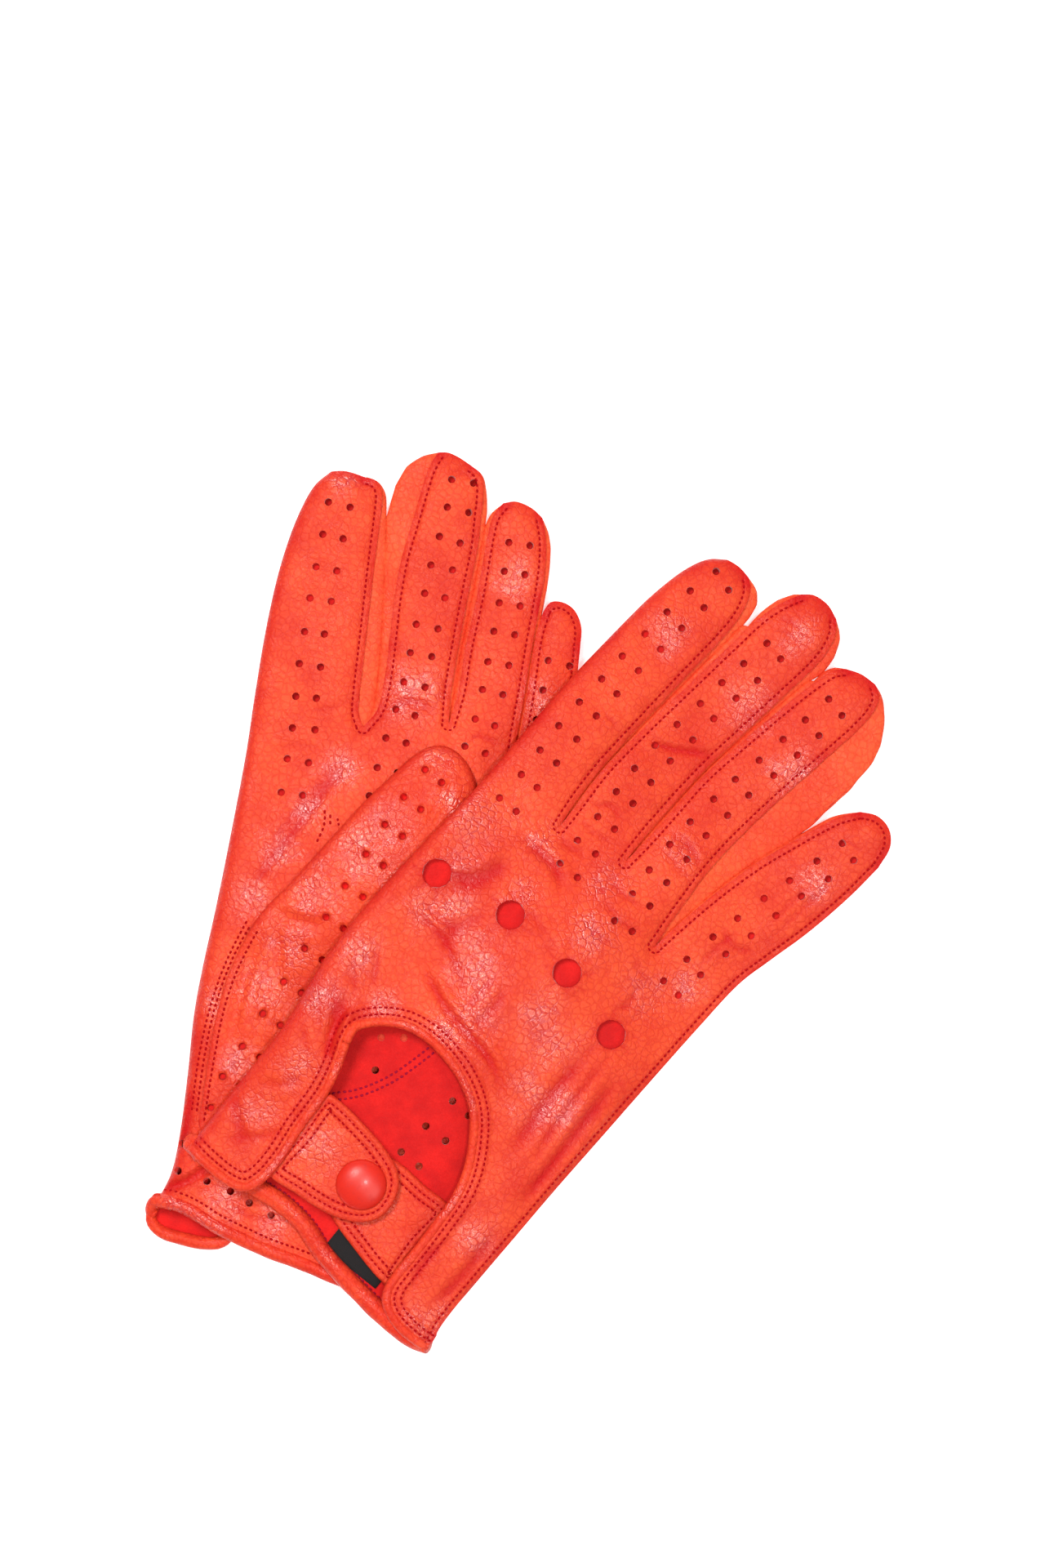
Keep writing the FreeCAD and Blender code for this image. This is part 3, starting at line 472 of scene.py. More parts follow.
def noise(points, size, seed):
    """Smooth noise, about -1 to 1, with lumps of about the given size."""
    table = np.random.default_rng(seed).permutation(256)
    angles = np.random.default_rng(seed + 1).uniform(0, 2 * math.pi, 256)
    p = np.asarray(points, float) / size
    cell = np.floor(p).astype(int)
    local = p - cell
    weight = local ** 3 * (local * (local * 6 - 15) + 10)
    total = np.zeros(len(p))
    for dx in (0, 1):
        for dy in (0, 1):
            spot = table[(table[(cell[:, 0] + dx) & 255] + cell[:, 1] + dy) & 255]
            slope = np.cos(angles[spot]) * (local[:, 0] - dx) + np.sin(angles[spot]) * (local[:, 1] - dy)
            share = (weight[:, 0] if dx else 1 - weight[:, 0]) * (weight[:, 1] if dy else 1 - weight[:, 1])
            total += share * slope
    return total * 1.5


# --- meshes ---------------------------------------------------------------------------------------


def vertex_normals(verts, faces):
    normals = np.zeros_like(verts)
    a, b, c = verts[faces[:, 0]], verts[faces[:, 1]], verts[faces[:, 2]]
    face = np.cross(b - a, c - a)
    if faces.shape[1] == 4:
        face = np.cross(c - a, verts[faces[:, 3]] - b)
    for k in range(faces.shape[1]):
        np.add.at(normals, faces[:, k], face)
    return normals / np.maximum(np.linalg.norm(normals, axis=1), 1e-12)[:, None]


def build(name, verts, faces, materials, slots=None, normals=None, **values):
    """A mesh object from arrays, in metres. normals and values, such as the painted shade and the glaze, are
    one to a vertex.
    """
    mesh = bpy.data.meshes.new(name)
    mesh.from_pydata([tuple(v) for v in verts], [], [tuple(int(i) for i in f) for f in faces])
    for material in materials:
        mesh.materials.append(material)
    if slots is not None:
        mesh.polygons.foreach_set("material_index", np.asarray(slots, np.int32))
    mesh.polygons.foreach_set("use_smooth", np.ones(len(mesh.polygons), bool))
    mesh.update()
    if normals is not None:
        mesh.normals_split_custom_set_from_vertices([tuple(n) for n in normals])
    for key, numbers in values.items():
        mesh.attributes.new(key, "FLOAT", "POINT").data.foreach_set("value", np.asarray(numbers, np.float32))
    piece = bpy.data.objects.new(name, mesh)
    bpy.context.collection.objects.link(piece)
    return piece


def rim_edges(faces):
    """Edges that only one face has, in that face's direction."""
    count = faces.shape[1]
    edges = np.vstack([faces[:, (k, (k + 1) % count)] for k in range(count)])
    keys = np.sort(edges, axis=1)
    _, first, uses = np.unique(keys, axis=0, return_index=True, return_counts=True)
    return edges[first[uses == 1]]


def shell(verts, faces, thickness, normals=None):
    """Doubles an open surface into a skin with walls at its rim.

    Returns vertices, faces, material slots (0 outside, 1 inside, 2 rim) and normals. All faces have three
    corners. The rim has vertices of its own, so its edges stay crisp.
    """
    if faces.shape[1] == 4:
        faces = np.vstack((faces[:, :3], faces[:, [0, 2, 3]]))
    outward = vertex_normals(verts, faces) if normals is None else normals
    inner = verts - outward * np.reshape(thickness, (-1, 1))
    rim = rim_edges(faces)
    n = len(verts)
    a, b = rim.T
    used = np.unique(rim)
    place = np.zeros(n, int)
    place[used] = np.arange(len(used))
    top_a, top_b = 2 * n + place[a], 2 * n + place[b]
    low_a, low_b = top_a + len(used), top_b + len(used)
    walls = np.vstack((np.column_stack((top_a, low_a, low_b)), np.column_stack((top_a, low_b, top_b))))
    all_verts = np.vstack((verts, inner, verts[used], inner[used]))
    all_faces = np.vstack((faces, faces[:, ::-1] + n, walls))
    slots = np.repeat((0, 1, 2), (len(faces), len(faces), len(walls)))
    wall_normals = vertex_normals(all_verts, walls)
    all_normals = np.vstack((outward, -outward, wall_normals[2 * n:]))
    return all_verts, all_faces, slots, all_normals


def used_only(verts, faces, normals):
    """Drops vertices that no face uses."""
    used = np.unique(faces)
    place = np.zeros(len(verts), int)
    place[used] = np.arange(len(used))
    return verts[used], place[faces], normals[used]


def grid_faces(rows, columns, closed=False):
    """Quads of a grid of vertices that is rows by columns. closed joins the last column to the first."""
    r, c = np.meshgrid(np.arange(rows - 1), np.arange(columns if closed else columns - 1), indexing="ij")
    r, c = r.ravel(), c.ravel()
    after = (c + 1) % columns
    low, high = r * columns, (r + 1) * columns
    return np.column_stack((low + c, low + after, high + after, high + c))


def tube_mesh(path, radii, sides=14):
    """Vertices and quads of a tube along a path, drawn in at both ends."""
    t = tangents(path)
    side = np.cross(t, (0.0, 0.0, 1.0))
    side /= np.maximum(np.linalg.norm(side, axis=1), 1e-9)[:, None]
    over = np.cross(side, t)
    radii = np.broadcast_to(np.asarray(radii, float), len(path))
    path, side, over = (np.vstack((x[:1], x, x[-1:])) for x in (path, side, over))
    radii = np.concatenate(([0.02 * radii[0]], radii, [0.02 * radii[-1]]))[:, None, None]
    cosines, sines = circle(sides).T
    ring = side[:, None] * cosines[None, :, None] + over[:, None] * sines[None, :, None]
    verts = (path[:, None] + ring * radii).reshape(-1, 3)
    return verts, grid_faces(len(path), sides, closed=True)


def joined(parts):
    """One set of vertices and faces from several."""
    verts, faces, start = [], [], 0
    for v, f in parts:
        verts.append(v)
        faces.append(f + start)
        start += len(v)
    return np.vstack(verts), np.vstack(faces)


# --- leather faces --------------------------------------------------------------------------------

# What an edge does to the height: how far in the face is rounded, how open it is there, and the curve.
ROUNDING = {"fold": (4.2, 0.05, rounded), "seam": (6.0, 1.6, sloped), "tip": (8.0, 0.95, sloped),
            "side": (11.0, 1.0, sloped)}


def glaze(p, where):
    """How much the leather shines at each point, from 0 to 1."""
    value = np.zeros(len(p))
    bent = p + 2.2 * np.column_stack((noise(p, 7, 51), noise(p, 7, 53)))
    for u, v, radius in GLAZED[where]:
        value = np.maximum(value, np.exp(-((bent - (u, v)) ** 2).sum(axis=1) / radius ** 2))
    return value * np.clip(0.8 + 0.5 * noise(p, 3.0, 57), 0, 1)


def faded(along):
    """1 over most of a path's length, falling to 0 at its ends. along goes from 0 to 1."""
    return np.clip(np.minimum(along, 1 - along) * 4, 0, 1)


def creased(p, creases):
    """The relief of creases: each is a groove between two lips."""
    total = np.zeros(len(p))
    for path, depth, width in creases:
        distance, along, hand = close_to(p, spline(path), 6 * width)
        x = distance / width
        lip = 0.55 * bell(x, 1.7, 0.8) * (1 + 0.5 * hand)
        total += depth * faded(along) ** 0.8 * (lip - bell(x, 0, 1))
    return total


def knuckle_holes(p):
    """For each knuckle hole: how far points are from its middle, and the waves of the puckers round it."""
    for spot in KNUCKLE_HOLES:
        turn = np.arctan2(*(p - spot).T)
        yield np.linalg.norm(p - spot, axis=1), np.sin(turn * 11 + 2 * np.sin(turn * 3))


class Surface:
    """Something with an outer height at each plan point. up is 1 where it looks up and -1 below."""

    bends = None    # where a tab starts and ends its bend between the hand and the strap

    def normals(self, p, step=0.25):
        """Outward unit normals at points."""
        p = np.asarray(p, float)
        dx = (self.height(p + (step, 0)) - self.height(p - (step, 0))) / (2 * step)
        dy = (self.height(p + (0, step)) - self.height(p - (0, step))) / (2 * step)
        n = np.column_stack((-dx, -dy, np.ones(len(p)))) * self.up
        return n / np.linalg.norm(n, axis=1)[:, None]

    def body(self, p):
        return np.zeros(len(p), int)


class Face(Surface):
    """One leather face of a glove, hand and fingers together. up is 1 for the upper face and -1 below."""

    def __init__(self, side, up):
        self.side, self.up, self.glove, self.rides = side, up, GLOVES[side], f"{side}_hand"
        self.kind = "back" if (side == "right") == (up > 0) else "palm"
        runs, start = [], []
        for kind, points in EDGES[side]:
            runs.append((kind, spline(start + points)))
            start = points[-1:]
        self.wrist = [spline(points) for points in WRISTS[(side, self.kind)]]
        runs += [("wrist", path) for path in self.wrist]
        self.outline = np.vstack([path[:-1] for _, path in runs])
        self.kinds = {}
        for kind in ("fold", "seam", "tip", "side", "wrist"):
            self.kinds[kind] = [path for name, path in runs if name == kind]
        seams = self.kinds["seam"]
        self.crotches = [path[-1] for path in seams[::2]]
        self.levels = np.linspace(100, 200, 60)
        self.dividers = []
        for pair in (seams[:2], seams[2:4], seams[4:]):
            sides = [np.interp(self.levels, *path[np.argsort(path[:, 1])].T[::-1]) for path in pair]
            self.dividers.append((sides[0] + sides[1]) / 2)
        self.hinges = []
        for finger, tip in zip(FINGERS, self.kinds["tip"]):
            hinge = self.glove.plan(JOINTS[f"{side}_{finger}"]["pos_m"])
            toward = tip.mean(axis=0) - hinge
            self.hinges.append((hinge, toward / np.linalg.norm(toward)))

    def extent(self, p):
        """Lowest and highest level of the glove at each point."""
        base = np.interp(p[:, 0], *np.array([hinge for hinge, _ in self.hinges]).T)
        hand = smooth((base + 3 - p[:, 1]) / 30)
        low = self.glove.lift * hand
        high = self.glove.fingers + (self.glove.hand + self.glove.lift - self.glove.fingers) * hand
        return low, high

    def gaps(self, p):
        return {kind: np.min([close_to(p, path, 16)[0] for path in paths], axis=0)
                for kind, paths in self.kinds.items()}

    def height(self, p):
        """The outer surface at each point, in the glove's frame."""
        p = np.asarray(p, float)
        low, high = self.extent(p)
        middle, full = (low + high) / 2, (high - low) / 2
        gaps = self.gaps(p)
        half = full.copy()
        for kind, (width, opening, curve) in ROUNDING.items():
            half = np.minimum(half, opening + (full - opening) * curve(gaps[kind], width))
        if self.kind == "back":
            near = self.window_gap(p)
            half += 0.5 * (1 - smooth((near - 4.1) / 0.5)) * smooth((near - 0.2) / 0.8)
            half -= 0.24 * (bell(near, 1.75, 0.4) + bell(near, 3.6, 0.4))
            for away, wave in knuckle_holes(p):
                half += 0.16 * bell(away, KNUCKLE_RADIUS + 0.6, 0.9) + 0.26 * wave * bell(away, 5.4, 1.7)
        half += self.relief(p, gaps)
        return middle + half if self.up > 0 else np.maximum(middle - half, FLOOR)

    def thickness(self, p):
        """Of the leather at each point. A lower face fills up to the upper one, so the glove lies flat."""
        if self.up > 0:
            return np.full(len(p), LEATHER)
        low, high = self.extent(p)
        gaps = self.gaps(p)
        edge = np.min(list(gaps.values()), axis=0)
        room = np.clip(high - low - 2 * LEATHER - 1.15, 0, None)
        reach = smooth((p[:, 1] - 58) / 14)
        return LEATHER + room * reach * smooth((edge - 1.4) / 2.8)

    def window_gap(self, p):
        """How far each point is from the bound edge of the back's opening."""
        return np.minimum(nearest(p, self.wrist[0])[0], nearest(p, self.wrist[1])[0])

    def relief(self, p, gaps):
        """Seam grooves, puckers, creases and the slow unevenness of worn leather."""
        seam, side = gaps["seam"], gaps["side"]
        seams = 0.34 * np.exp(-seam / 3.6) * noise(p, 3.2, 3) * smooth(seam / 0.8)
        seams -= 0.24 * bell(seam, SEAM_INSET, 0.5)
        sides = 0.35 * np.exp(-side / 5) * noise(p, 5.5, 5) * smooth(side / 0.8)
        sides -= 0.22 * bell(side, 1.4, 0.5)
        edge = np.min([gaps[kind] for kind in ROUNDING], axis=0)
        slow = 0.50 * noise(p, 26, 7) + 0.26 * noise(p, 11, 9) + 0.10 * noise(p, 4.6, 11)
        creases = CREASES.get((self.side, self.up), [])
        return seams + sides + smooth(edge / 6) * slow + 1.35 * creased(p, creases)

    def dye(self, p):
        """Painted shade at each point: darker along the folds, tips, edges and seams, in the stitch grooves,
        round the knuckle holes and in the valleys of their puckers, and in the creases, where shade falls;
        plus random patches of deeper colour.
        """
        gaps = self.gaps(p)
        rim = np.minimum(gaps["seam"], gaps["side"])
        value = 0.45 * bell(rim, 0, 1.0) + 0.38 * bell(rim, SEAM_INSET, 0.45)
        value += 0.65 * bell(np.minimum(gaps["fold"], gaps["tip"]), 0, 2.8)
        if self.kind == "back":
            window = self.window_gap(p)
            for row in BINDING_ROWS:
                value += 0.6 * bell(window, row, 0.5)
            for away, wave in knuckle_holes(p):
                value += 0.5 * np.exp(-(away - KNUCKLE_RADIUS) ** 2 / 0.5)
                value += 0.6 * np.clip(-wave, 0, 1) ** 3 * bell(away, 5.4, 1.5)
        for path, depth, width in CREASES.get((self.side, self.up), []):
            distance, along, _ = close_to(p, spline(path), 4 * width)
            value += min(depth * 2.2, 1) * faded(along) * bell(distance, 0, width)
        value += 0.55 * np.clip(-noise(p, 9, 61) - 0.25, 0, 1)
        value += 0.3 * np.clip(noise(p, 4, 63), 0, 1) * np.exp(-rim / 4)
        return np.clip(value, 0, 1)

    def body(self, p):
        """0 for the hand, 1 to 4 for the fingers, at each point."""
        finger = np.zeros(len(p), int)
        for middle in self.dividers:
            finger += p[:, 0] > np.interp(p[:, 1], self.levels, middle)
        forward = np.zeros(len(p))
        for k, (hinge, toward) in enumerate(self.hinges):
            forward[finger == k] = (p[finger == k] - hinge) @ toward
        return np.where(forward > FINGER_ROOT, finger + 1, 0)

    def holes(self):
        """Centre, radius and number of corners of each hole in this face."""
        result = []
        for finger in FINGERS if self.up > 0 else ():
            points, count = PERFORATIONS[(self.side, finger)]
            path = spline(points, 0.5)
            middles = path[np.linspace(0, len(path) - 1, count).round().astype(int)]
            across = left_of(tangents(middles)) * PAIR_WIDTH / 2
            wobble = np.random.default_rng(len(finger) + len(self.side)).uniform(-0.2, 0.2, (2 * count, 2))
            spots = np.vstack((middles + across, middles - across)) + wobble
            result += [(spot, PERFORATION, 10) for spot in spots]
        if self.kind == "back":
            return result + [(np.array(spot), KNUCKLE_RADIUS, 32) for spot in KNUCKLE_HOLES]
        return result + [(np.array(spot), PERFORATION, 10) for spot in PALM_HOLES[self.side]]


def plan_mesh(outline, holes=(), grid=UPPER_GRID, rows=()):
    """Triangles that fill a closed outline round its holes. rows are lines of points kept as they are."""
    loops = [outline] + [spot + radius * circle(count) for spot, radius, count in holes]
    low, high = outline.min(axis=0), outline.max(axis=0)
    columns = np.arange(low[0], high[0], grid)
    lines = np.arange(low[1], high[1], grid * 0.866)
    x, y = np.meshgrid(columns, lines)
    x = x + (np.arange(len(lines)) % 2)[:, None] * grid / 2
    points = np.column_stack((x.ravel(), y.ravel()))
    points = points[inside(points, outline)]
    points = points[nearest(points, closed_path(outline))[0] > 0.55 * grid]
    if len(rows):
        lined = np.vstack(rows)
        tree = KDTree(len(lined))
        for k, (a, b) in enumerate(lined):
            tree.insert((a, b, 0), k)
        tree.balance()
        points = points[[tree.find((a, b, 0))[2] > 0.6 * grid for a, b in points]]
    for spot, radius, _ in holes:
        points = points[np.linalg.norm(points - spot, axis=1) > radius + 0.3 * grid]
    extra = [row[inside(row, outline)] for row in rows]
    extra = [row for row in extra if len(row)]
    everything = np.vstack(loops + extra + [points])
    edges, start = [], 0
    for loop in loops:
        count = len(loop)
        edges += [(start + k, start + (k + 1) % count) for k in range(count)]
        start += count
    vectors = [Vector((float(a), float(b))) for a, b in everything]
    found, _, triangles, _, _, _ = delaunay_2d_cdt(vectors, edges, [], 0, 1e-6)
    verts = np.array([tuple(v) for v in found])
    faces = np.array([tuple(f) for f in triangles])
    centres = verts[faces].mean(axis=1)
    keep = inside(centres, outline)
    for spot, radius, count in holes:
        keep &= np.linalg.norm(centres - spot, axis=1) > radius * math.cos(math.pi / count) * 0.98
    faces = faces[keep]
    a, b, c = (verts[faces[:, k]] for k in range(3))
    turn = (b[:, 0] - a[:, 0]) * (c[:, 1] - a[:, 1]) - (b[:, 1] - a[:, 1]) * (c[:, 0] - a[:, 0])
    faces[turn < 0] = faces[turn < 0][:, ::-1]
    return verts, faces


def rows_beside(paths, gaps, step=1.0):
    return [even(beside(path, gap), step) for path in paths for gap in gaps]


def leather_face(face, materials, grid):
    """Builds a face as one piece for the hand and one for each finger."""
    side, up = face.side, face.up
    rows = rows_beside(face.kinds["fold"], (0.12, 0.45, 1.0, 1.7, 2.6, 3.6), 1.2)
    if up > 0:
        rows += rows_beside(face.kinds["seam"] + face.kinds["side"],
                            (0.25, 0.6, 1.05, SEAM_INSET - 0.3, SEAM_INSET, 2.0, 2.5))
    if face.kind == "back":
        rows += rows_beside(face.wrist, (1.2, 1.6, 1.9, 2.3, 2.8, 3.3, 3.6, 4.0, 4.5, 5.0))
    flat, faces = plan_mesh(face.outline, face.holes(), grid, rows)
    z = face.height(flat)
    if up < 0:
        faces = faces[:, ::-1]
    verts = np.column_stack((flat, z))
    normals = vertex_normals(verts, faces)
    for path in face.kinds["fold"]:
        distance, _, _ = nearest(flat, path)
        rim = distance < 0.02
        closest = [np.argmin(((path - p) ** 2).sum(axis=1)) for p in flat[rim]]
        normals[rim] = np.column_stack((left_of(tangents(path)[closest]), np.zeros(rim.sum())))
    verts, faces, slots, normals = shell(verts, faces, face.thickness(flat), normals)
    owner = face.body(verts[faces][:, :, :2].mean(axis=1))
    # The fourth column is painted shade, darker along edges, seams and creases; the fifth is the glaze.
    normals = np.column_stack((face.glove.turn(normals, verts), face.dye(verts[:, :2]),
                               glaze(verts[:, :2], side) * (up > 0)))
    verts = face.glove.place(verts)
    for number, name in enumerate(("hand",) + FINGERS):
        part, corners, outward = used_only(verts, faces[owner == number], normals)
        piece = build(f"{side}_{name}_{face.kind}_leather", part, corners, materials, slots[owner == number],
                      outward[:, :3], dye=outward[:, 3], glaze=outward[:, 4])
        attach(piece, face, number)
        node = f"{side}_{face.kind}_panel" if number == 0 else f"{side}_{name}_{face.kind}"
        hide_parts(node)


def bend(piece, glove, ends):
    """Bakes a piece's transform into its mesh. ends, in the glove's frame, are carried to the row frame, but
    the piece is not bent between the hand and another body.
    """
    start, end = glove.place(ends)
    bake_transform(piece)


def attach(piece, face, number):
    """Rides a piece on the face's body. A finger's piece, or one with bends such as the strap's tab, only has
    its transform baked and is not bent.
    """
    if number:
        hinge, toward = face.hinges[number - 1]
        ends = [np.append(hinge + toward * reach, 2.6) for reach in FINGER_BEND]
        bend(piece, face.glove, ends)
    elif face.bends:
        bend(piece, face.glove, face.bends)
    else:
        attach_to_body(piece, face.rides)


def fit(piece, body, *nodes):
    """Rides a piece on a body, in place of nodes of the frame."""
    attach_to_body(piece, body)
    for node in nodes:
        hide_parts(node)


# --- stitching ------------------------------------------------------------------------------------


def capsule_shape():
    """A stitch one unit long, as (along, across, up) offsets, and its faces."""
    rings = [(-0.5, 0.25), (-0.42, 0.75), (-0.15, 1.0), (0.15, 1.0), (0.42, 0.75), (0.5, 0.25)]
    verts = [(x, r * cosine, r * sine) for x, r in rings for cosine, sine in circle(6)]
    return np.array(verts), grid_faces(len(rings), 6, closed=True)


STITCHED = []


def stitches(face, path, material, inner=False):
    """A row of stitches on a face along a plan path. inner puts them on the inside of the leather."""
    path = even(path, STITCH_PITCH)
    middle, toward = (path[:-1] + path[1:]) / 2, np.diff(path, axis=0)
    kept = inside(middle, face.outline)
    if not kept.any():
        return
    middle, toward = middle[kept], toward[kept]
    length = np.linalg.norm(toward, axis=1)[:, None]
    toward = toward / length
    z, normal = face.height(middle), face.normals(middle)
    if inner:
        z, normal = z - face.up * LEATHER, -normal
    along = np.column_stack((toward, np.zeros(len(toward))))
    along -= (along * normal).sum(axis=1)[:, None] * normal
    across = np.cross(normal, along)
    shape, _ = capsule_shape()
    centre = np.column_stack((middle, z)) + normal * STITCH_LIFT
    axes = (along * length * STITCH_SHARE, across * STITCH_RADIUS, normal * STITCH_RADIUS)
    verts = centre[:, None] + sum(shape[None, :, k, None] * axis[:, None] for k, axis in enumerate(axes))
    STITCHED.append((verts, face.body(middle), face, material))


def sew():
    """Builds every row of stitches, one object to a body and thread."""
    _, quads = capsule_shape()
    groups = {}
    for verts, owner, face, material in STITCHED:
        for number in np.unique(owner):
            key = (face.rides, face.up, material.name, number)
            groups.setdefault(key, []).append((verts[owner == number], face, material))
    for (rides, up, twine, number), rows in sorted(groups.items(), key=lambda group: group[0]):
        verts = np.vstack([block for block, _, _ in rows])
        count = len(verts)
        faces = (quads[None] + (np.arange(count) * verts.shape[1])[:, None, None]).reshape(-1, 4)
        face, material = rows[0][1:]
        level = "upper" if up > 0 else "lower"
        owner = rides if number == 0 else f"{face.side}_{FINGERS[number - 1]}"
        piece = build(f"{owner}_{level}_{twine}_stitches", face.glove.place(verts.reshape(-1, 3)),
                      faces, [material])
        attach(piece, face, number)


# --- fourchettes ----------------------------------------------------------------------------------


def fourchette_strip(upper, lower, number):
    """The strip along one seam of a finger, as vertices and quads. Seams count from the index finger's."""
    seams, bulges = upper.kinds["seam"], BULGES[upper.side]
    odd = number % 2
    path = even(seams[number] if odd else seams[number][::-1], 0.9)
    room = nearest(path, seams[number - 1 if odd else number + 1])[0]
    s = np.linspace(0, 1, len(path))
    bulge = np.clip(0.5 * room + 0.12, 0.3, 2.5) * smooth((1 - s) / 0.12)
    if number in bulges:
        levels, values = zip(*bulges[number])
        bulge = np.where(path[:, 1] < levels[0], bulge, np.interp(path[:, 1], levels, values))
    out = left_of(tangents(path)) * (1 if odd else -1)
    start = path - out * 1.0
    top, low = upper.height(start) - LEATHER - 0.02, lower.height(start) + LEATHER + 0.02
    wobble = noise(np.column_stack((s * 60, np.full(len(s), number * 7.0))), 4.0, 40 + number)
    profile = np.linspace(0, 1, 17)
    columns = []
    for x in profile:
        reach = math.sin(math.pi * x) ** 0.72
        spot = start + out * (reach * (bulge * (1 + 0.03 * wobble) + 1.0))[:, None]
        columns.append(np.column_stack((spot, low + (top - low) * (1 + math.cos(math.pi * x)) / 2)))
    grid = np.stack(columns, axis=1).reshape(-1, 3)
    quads = grid_faces(len(path), len(profile))
    outward = np.repeat(np.column_stack((out, np.zeros(len(out)))), len(profile), axis=0)
    if (vertex_normals(grid, quads) * outward).sum() < 0:
        quads = quads[:, ::-1]
    return grid, quads


def fourchettes(upper, lower, materials):
    """The strips between the upper and lower faces of each finger."""
    for finger, numbers in enumerate(((0,), (1, 2), (3, 4), (5,))):
        name = f"{upper.side}_{FINGERS[finger]}_fourchette"
        verts, quads = joined([fourchette_strip(upper, lower, number) for number in numbers])
        verts, faces, slots, _ = shell(verts, quads, LINING)
        piece = build(f"{name}_strips", upper.glove.place(verts), faces, materials, slots)
        attach(piece, upper, finger + 1)
        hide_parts(f"{name}s")


# --- edges, straps and fittings -------------------------------------------------------------------


def loop_of(points, step=1.0):
    """A smooth closed outline through points."""
    points = np.asarray(points, float)
    turned = np.vstack((points[-2:], points, points[:3]))
    path = spline(turned, 0.25)
    first = np.argmin(((path - points[0]) ** 2).sum(axis=1)[:len(path) // 2])
    last = len(path) // 2 + np.argmin(((path - points[0]) ** 2).sum(axis=1)[len(path) // 2:])
    return even(path[first:last + 1], step)[:-1]


def tube(name, face, points, radius, material):
    """A rolled edge along (u, v, z) points, riding with a face's hand."""
    verts, quads = tube_mesh(points, radius)
    shine = np.clip(0.15 + 0.9 * noise(verts[:, :2], 11, 71), 0, 1)
    piece = build(name, face.glove.place(verts), quads, [material], glaze=shine)
    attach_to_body(piece, face.rides)
    return piece


def edge_roll(name, face, path, material, radius, sink=0.75):
    """The rolled binding on the edge of a face. Its middle lies at sink under the surface beside it."""
    z = np.maximum(face.height(beside(path, 1.4)) - face.up * sink, radius * 1.06)
    wobble = 1 + 0.05 * noise(np.column_stack((np.arange(len(path)), np.zeros(len(path)))), 5.0, 21)
    return tube(name, face, np.column_stack((path, z)), radius * wobble, material)


def solid_sheet(flat, faces, top, bottom):
    """A closed solid between two heights over the same plan."""
    rim = rim_edges(faces)
    n = len(flat)
    a, b = rim.T
    verts = np.vstack((np.column_stack((flat, top)), np.column_stack((flat, bottom))))
    walls = np.vstack((np.column_stack((a, a + n, b + n)), np.column_stack((a, b + n, b))))
    return verts, np.vstack((faces, faces[:, ::-1] + n, walls))


class Tab(Surface):
    """A flat leather tab of two layers, with a rounded edge. depth is from the glove's back to its top."""

    def __init__(self, side, rides, points, depth, up):
        self.side, self.rides, self.up, self.glove = side, rides, up, GLOVES[side]
        self.outline = loop_of(points)
        self.level = (self.glove.hand if up > 0 else self.glove.lift) - up * depth
        self.under = self.level - up * TAB_THICKNESS

    def gap(self, p):
        return nearest(np.asarray(p, float), closed_path(self.outline))[0]

    def height(self, p):
        gap = self.gap(p)
        inner, outer = TAB_ROWS
        drop = 0.7 * (1 - rounded(gap, 0.9)) + 0.34 * bell(gap, inner, 0.42)
        drop += 0.32 * bell(gap, outer, 0.45) + 0.3 * smooth((gap - outer) / 0.8)
        uneven = 0.28 * noise(p, 6.5, 15) + 0.12 * noise(p, 2.6, 17)
        return self.level + self.up * (0.22 * smooth(gap / 9) + uneven * smooth(gap / 5) - drop)

    def line(self, distance):
        """The outline, moved inwards."""
        return beside(closed_path(self.outline), -distance if area(self.outline) > 0 else distance)

    def build(self, name, material):
        gaps = (0.15, 0.5, 1.1, 1.5, 1.9, 2.3, 2.8, 3.3, 3.7, 4.1, 4.6)
        flat, faces = plan_mesh(self.outline, grid=1.0, rows=[even(self.line(gap), 1.0) for gap in gaps])
        gap = self.gap(flat)
        top, bottom = self.height(flat), self.under + self.up * 0.7 * (1 - rounded(gap, 0.9))
        if self.up < 0:
            top, bottom = bottom, top
        verts, faces = solid_sheet(flat, faces, top, bottom)
        # Painted shade: darker along the tab's rounded edge and in its two stitch grooves.
        dye = 0.35 * bell(gap, 0, 1.2) + 0.7 * sum(bell(gap, row, 0.5) for row in TAB_ROWS)
        away = flat - (self.outline.mean(axis=0) - (6.5, 0))
        shine = 0.9 * np.exp(-(away ** 2).sum(axis=1) / 30) * np.clip(0.7 + 0.6 * noise(flat, 3, 67), 0, 1)
        return build(name, self.glove.place(verts), faces, [material],
                     dye=np.clip(np.tile(dye, 2), 0, 1), glaze=np.tile(shine, 2))


def lathe(name, side, profile, level, up, material, sides=48):
    """A turned piece about the snap's axis. profile is (radius, height), from the middle of the top out."""
    ring = circle(sides)
    grid = np.vstack([np.column_stack((SNAP + max(r, 0.01) * ring, np.full(sides, level + up * h)))
                      for r, h in profile])
    quads = grid_faces(len(profile), sides, closed=True)
    if up > 0:
        quads = quads[:, ::-1]
    return build(name, GLOVES[side].place(grid), quads, [material])


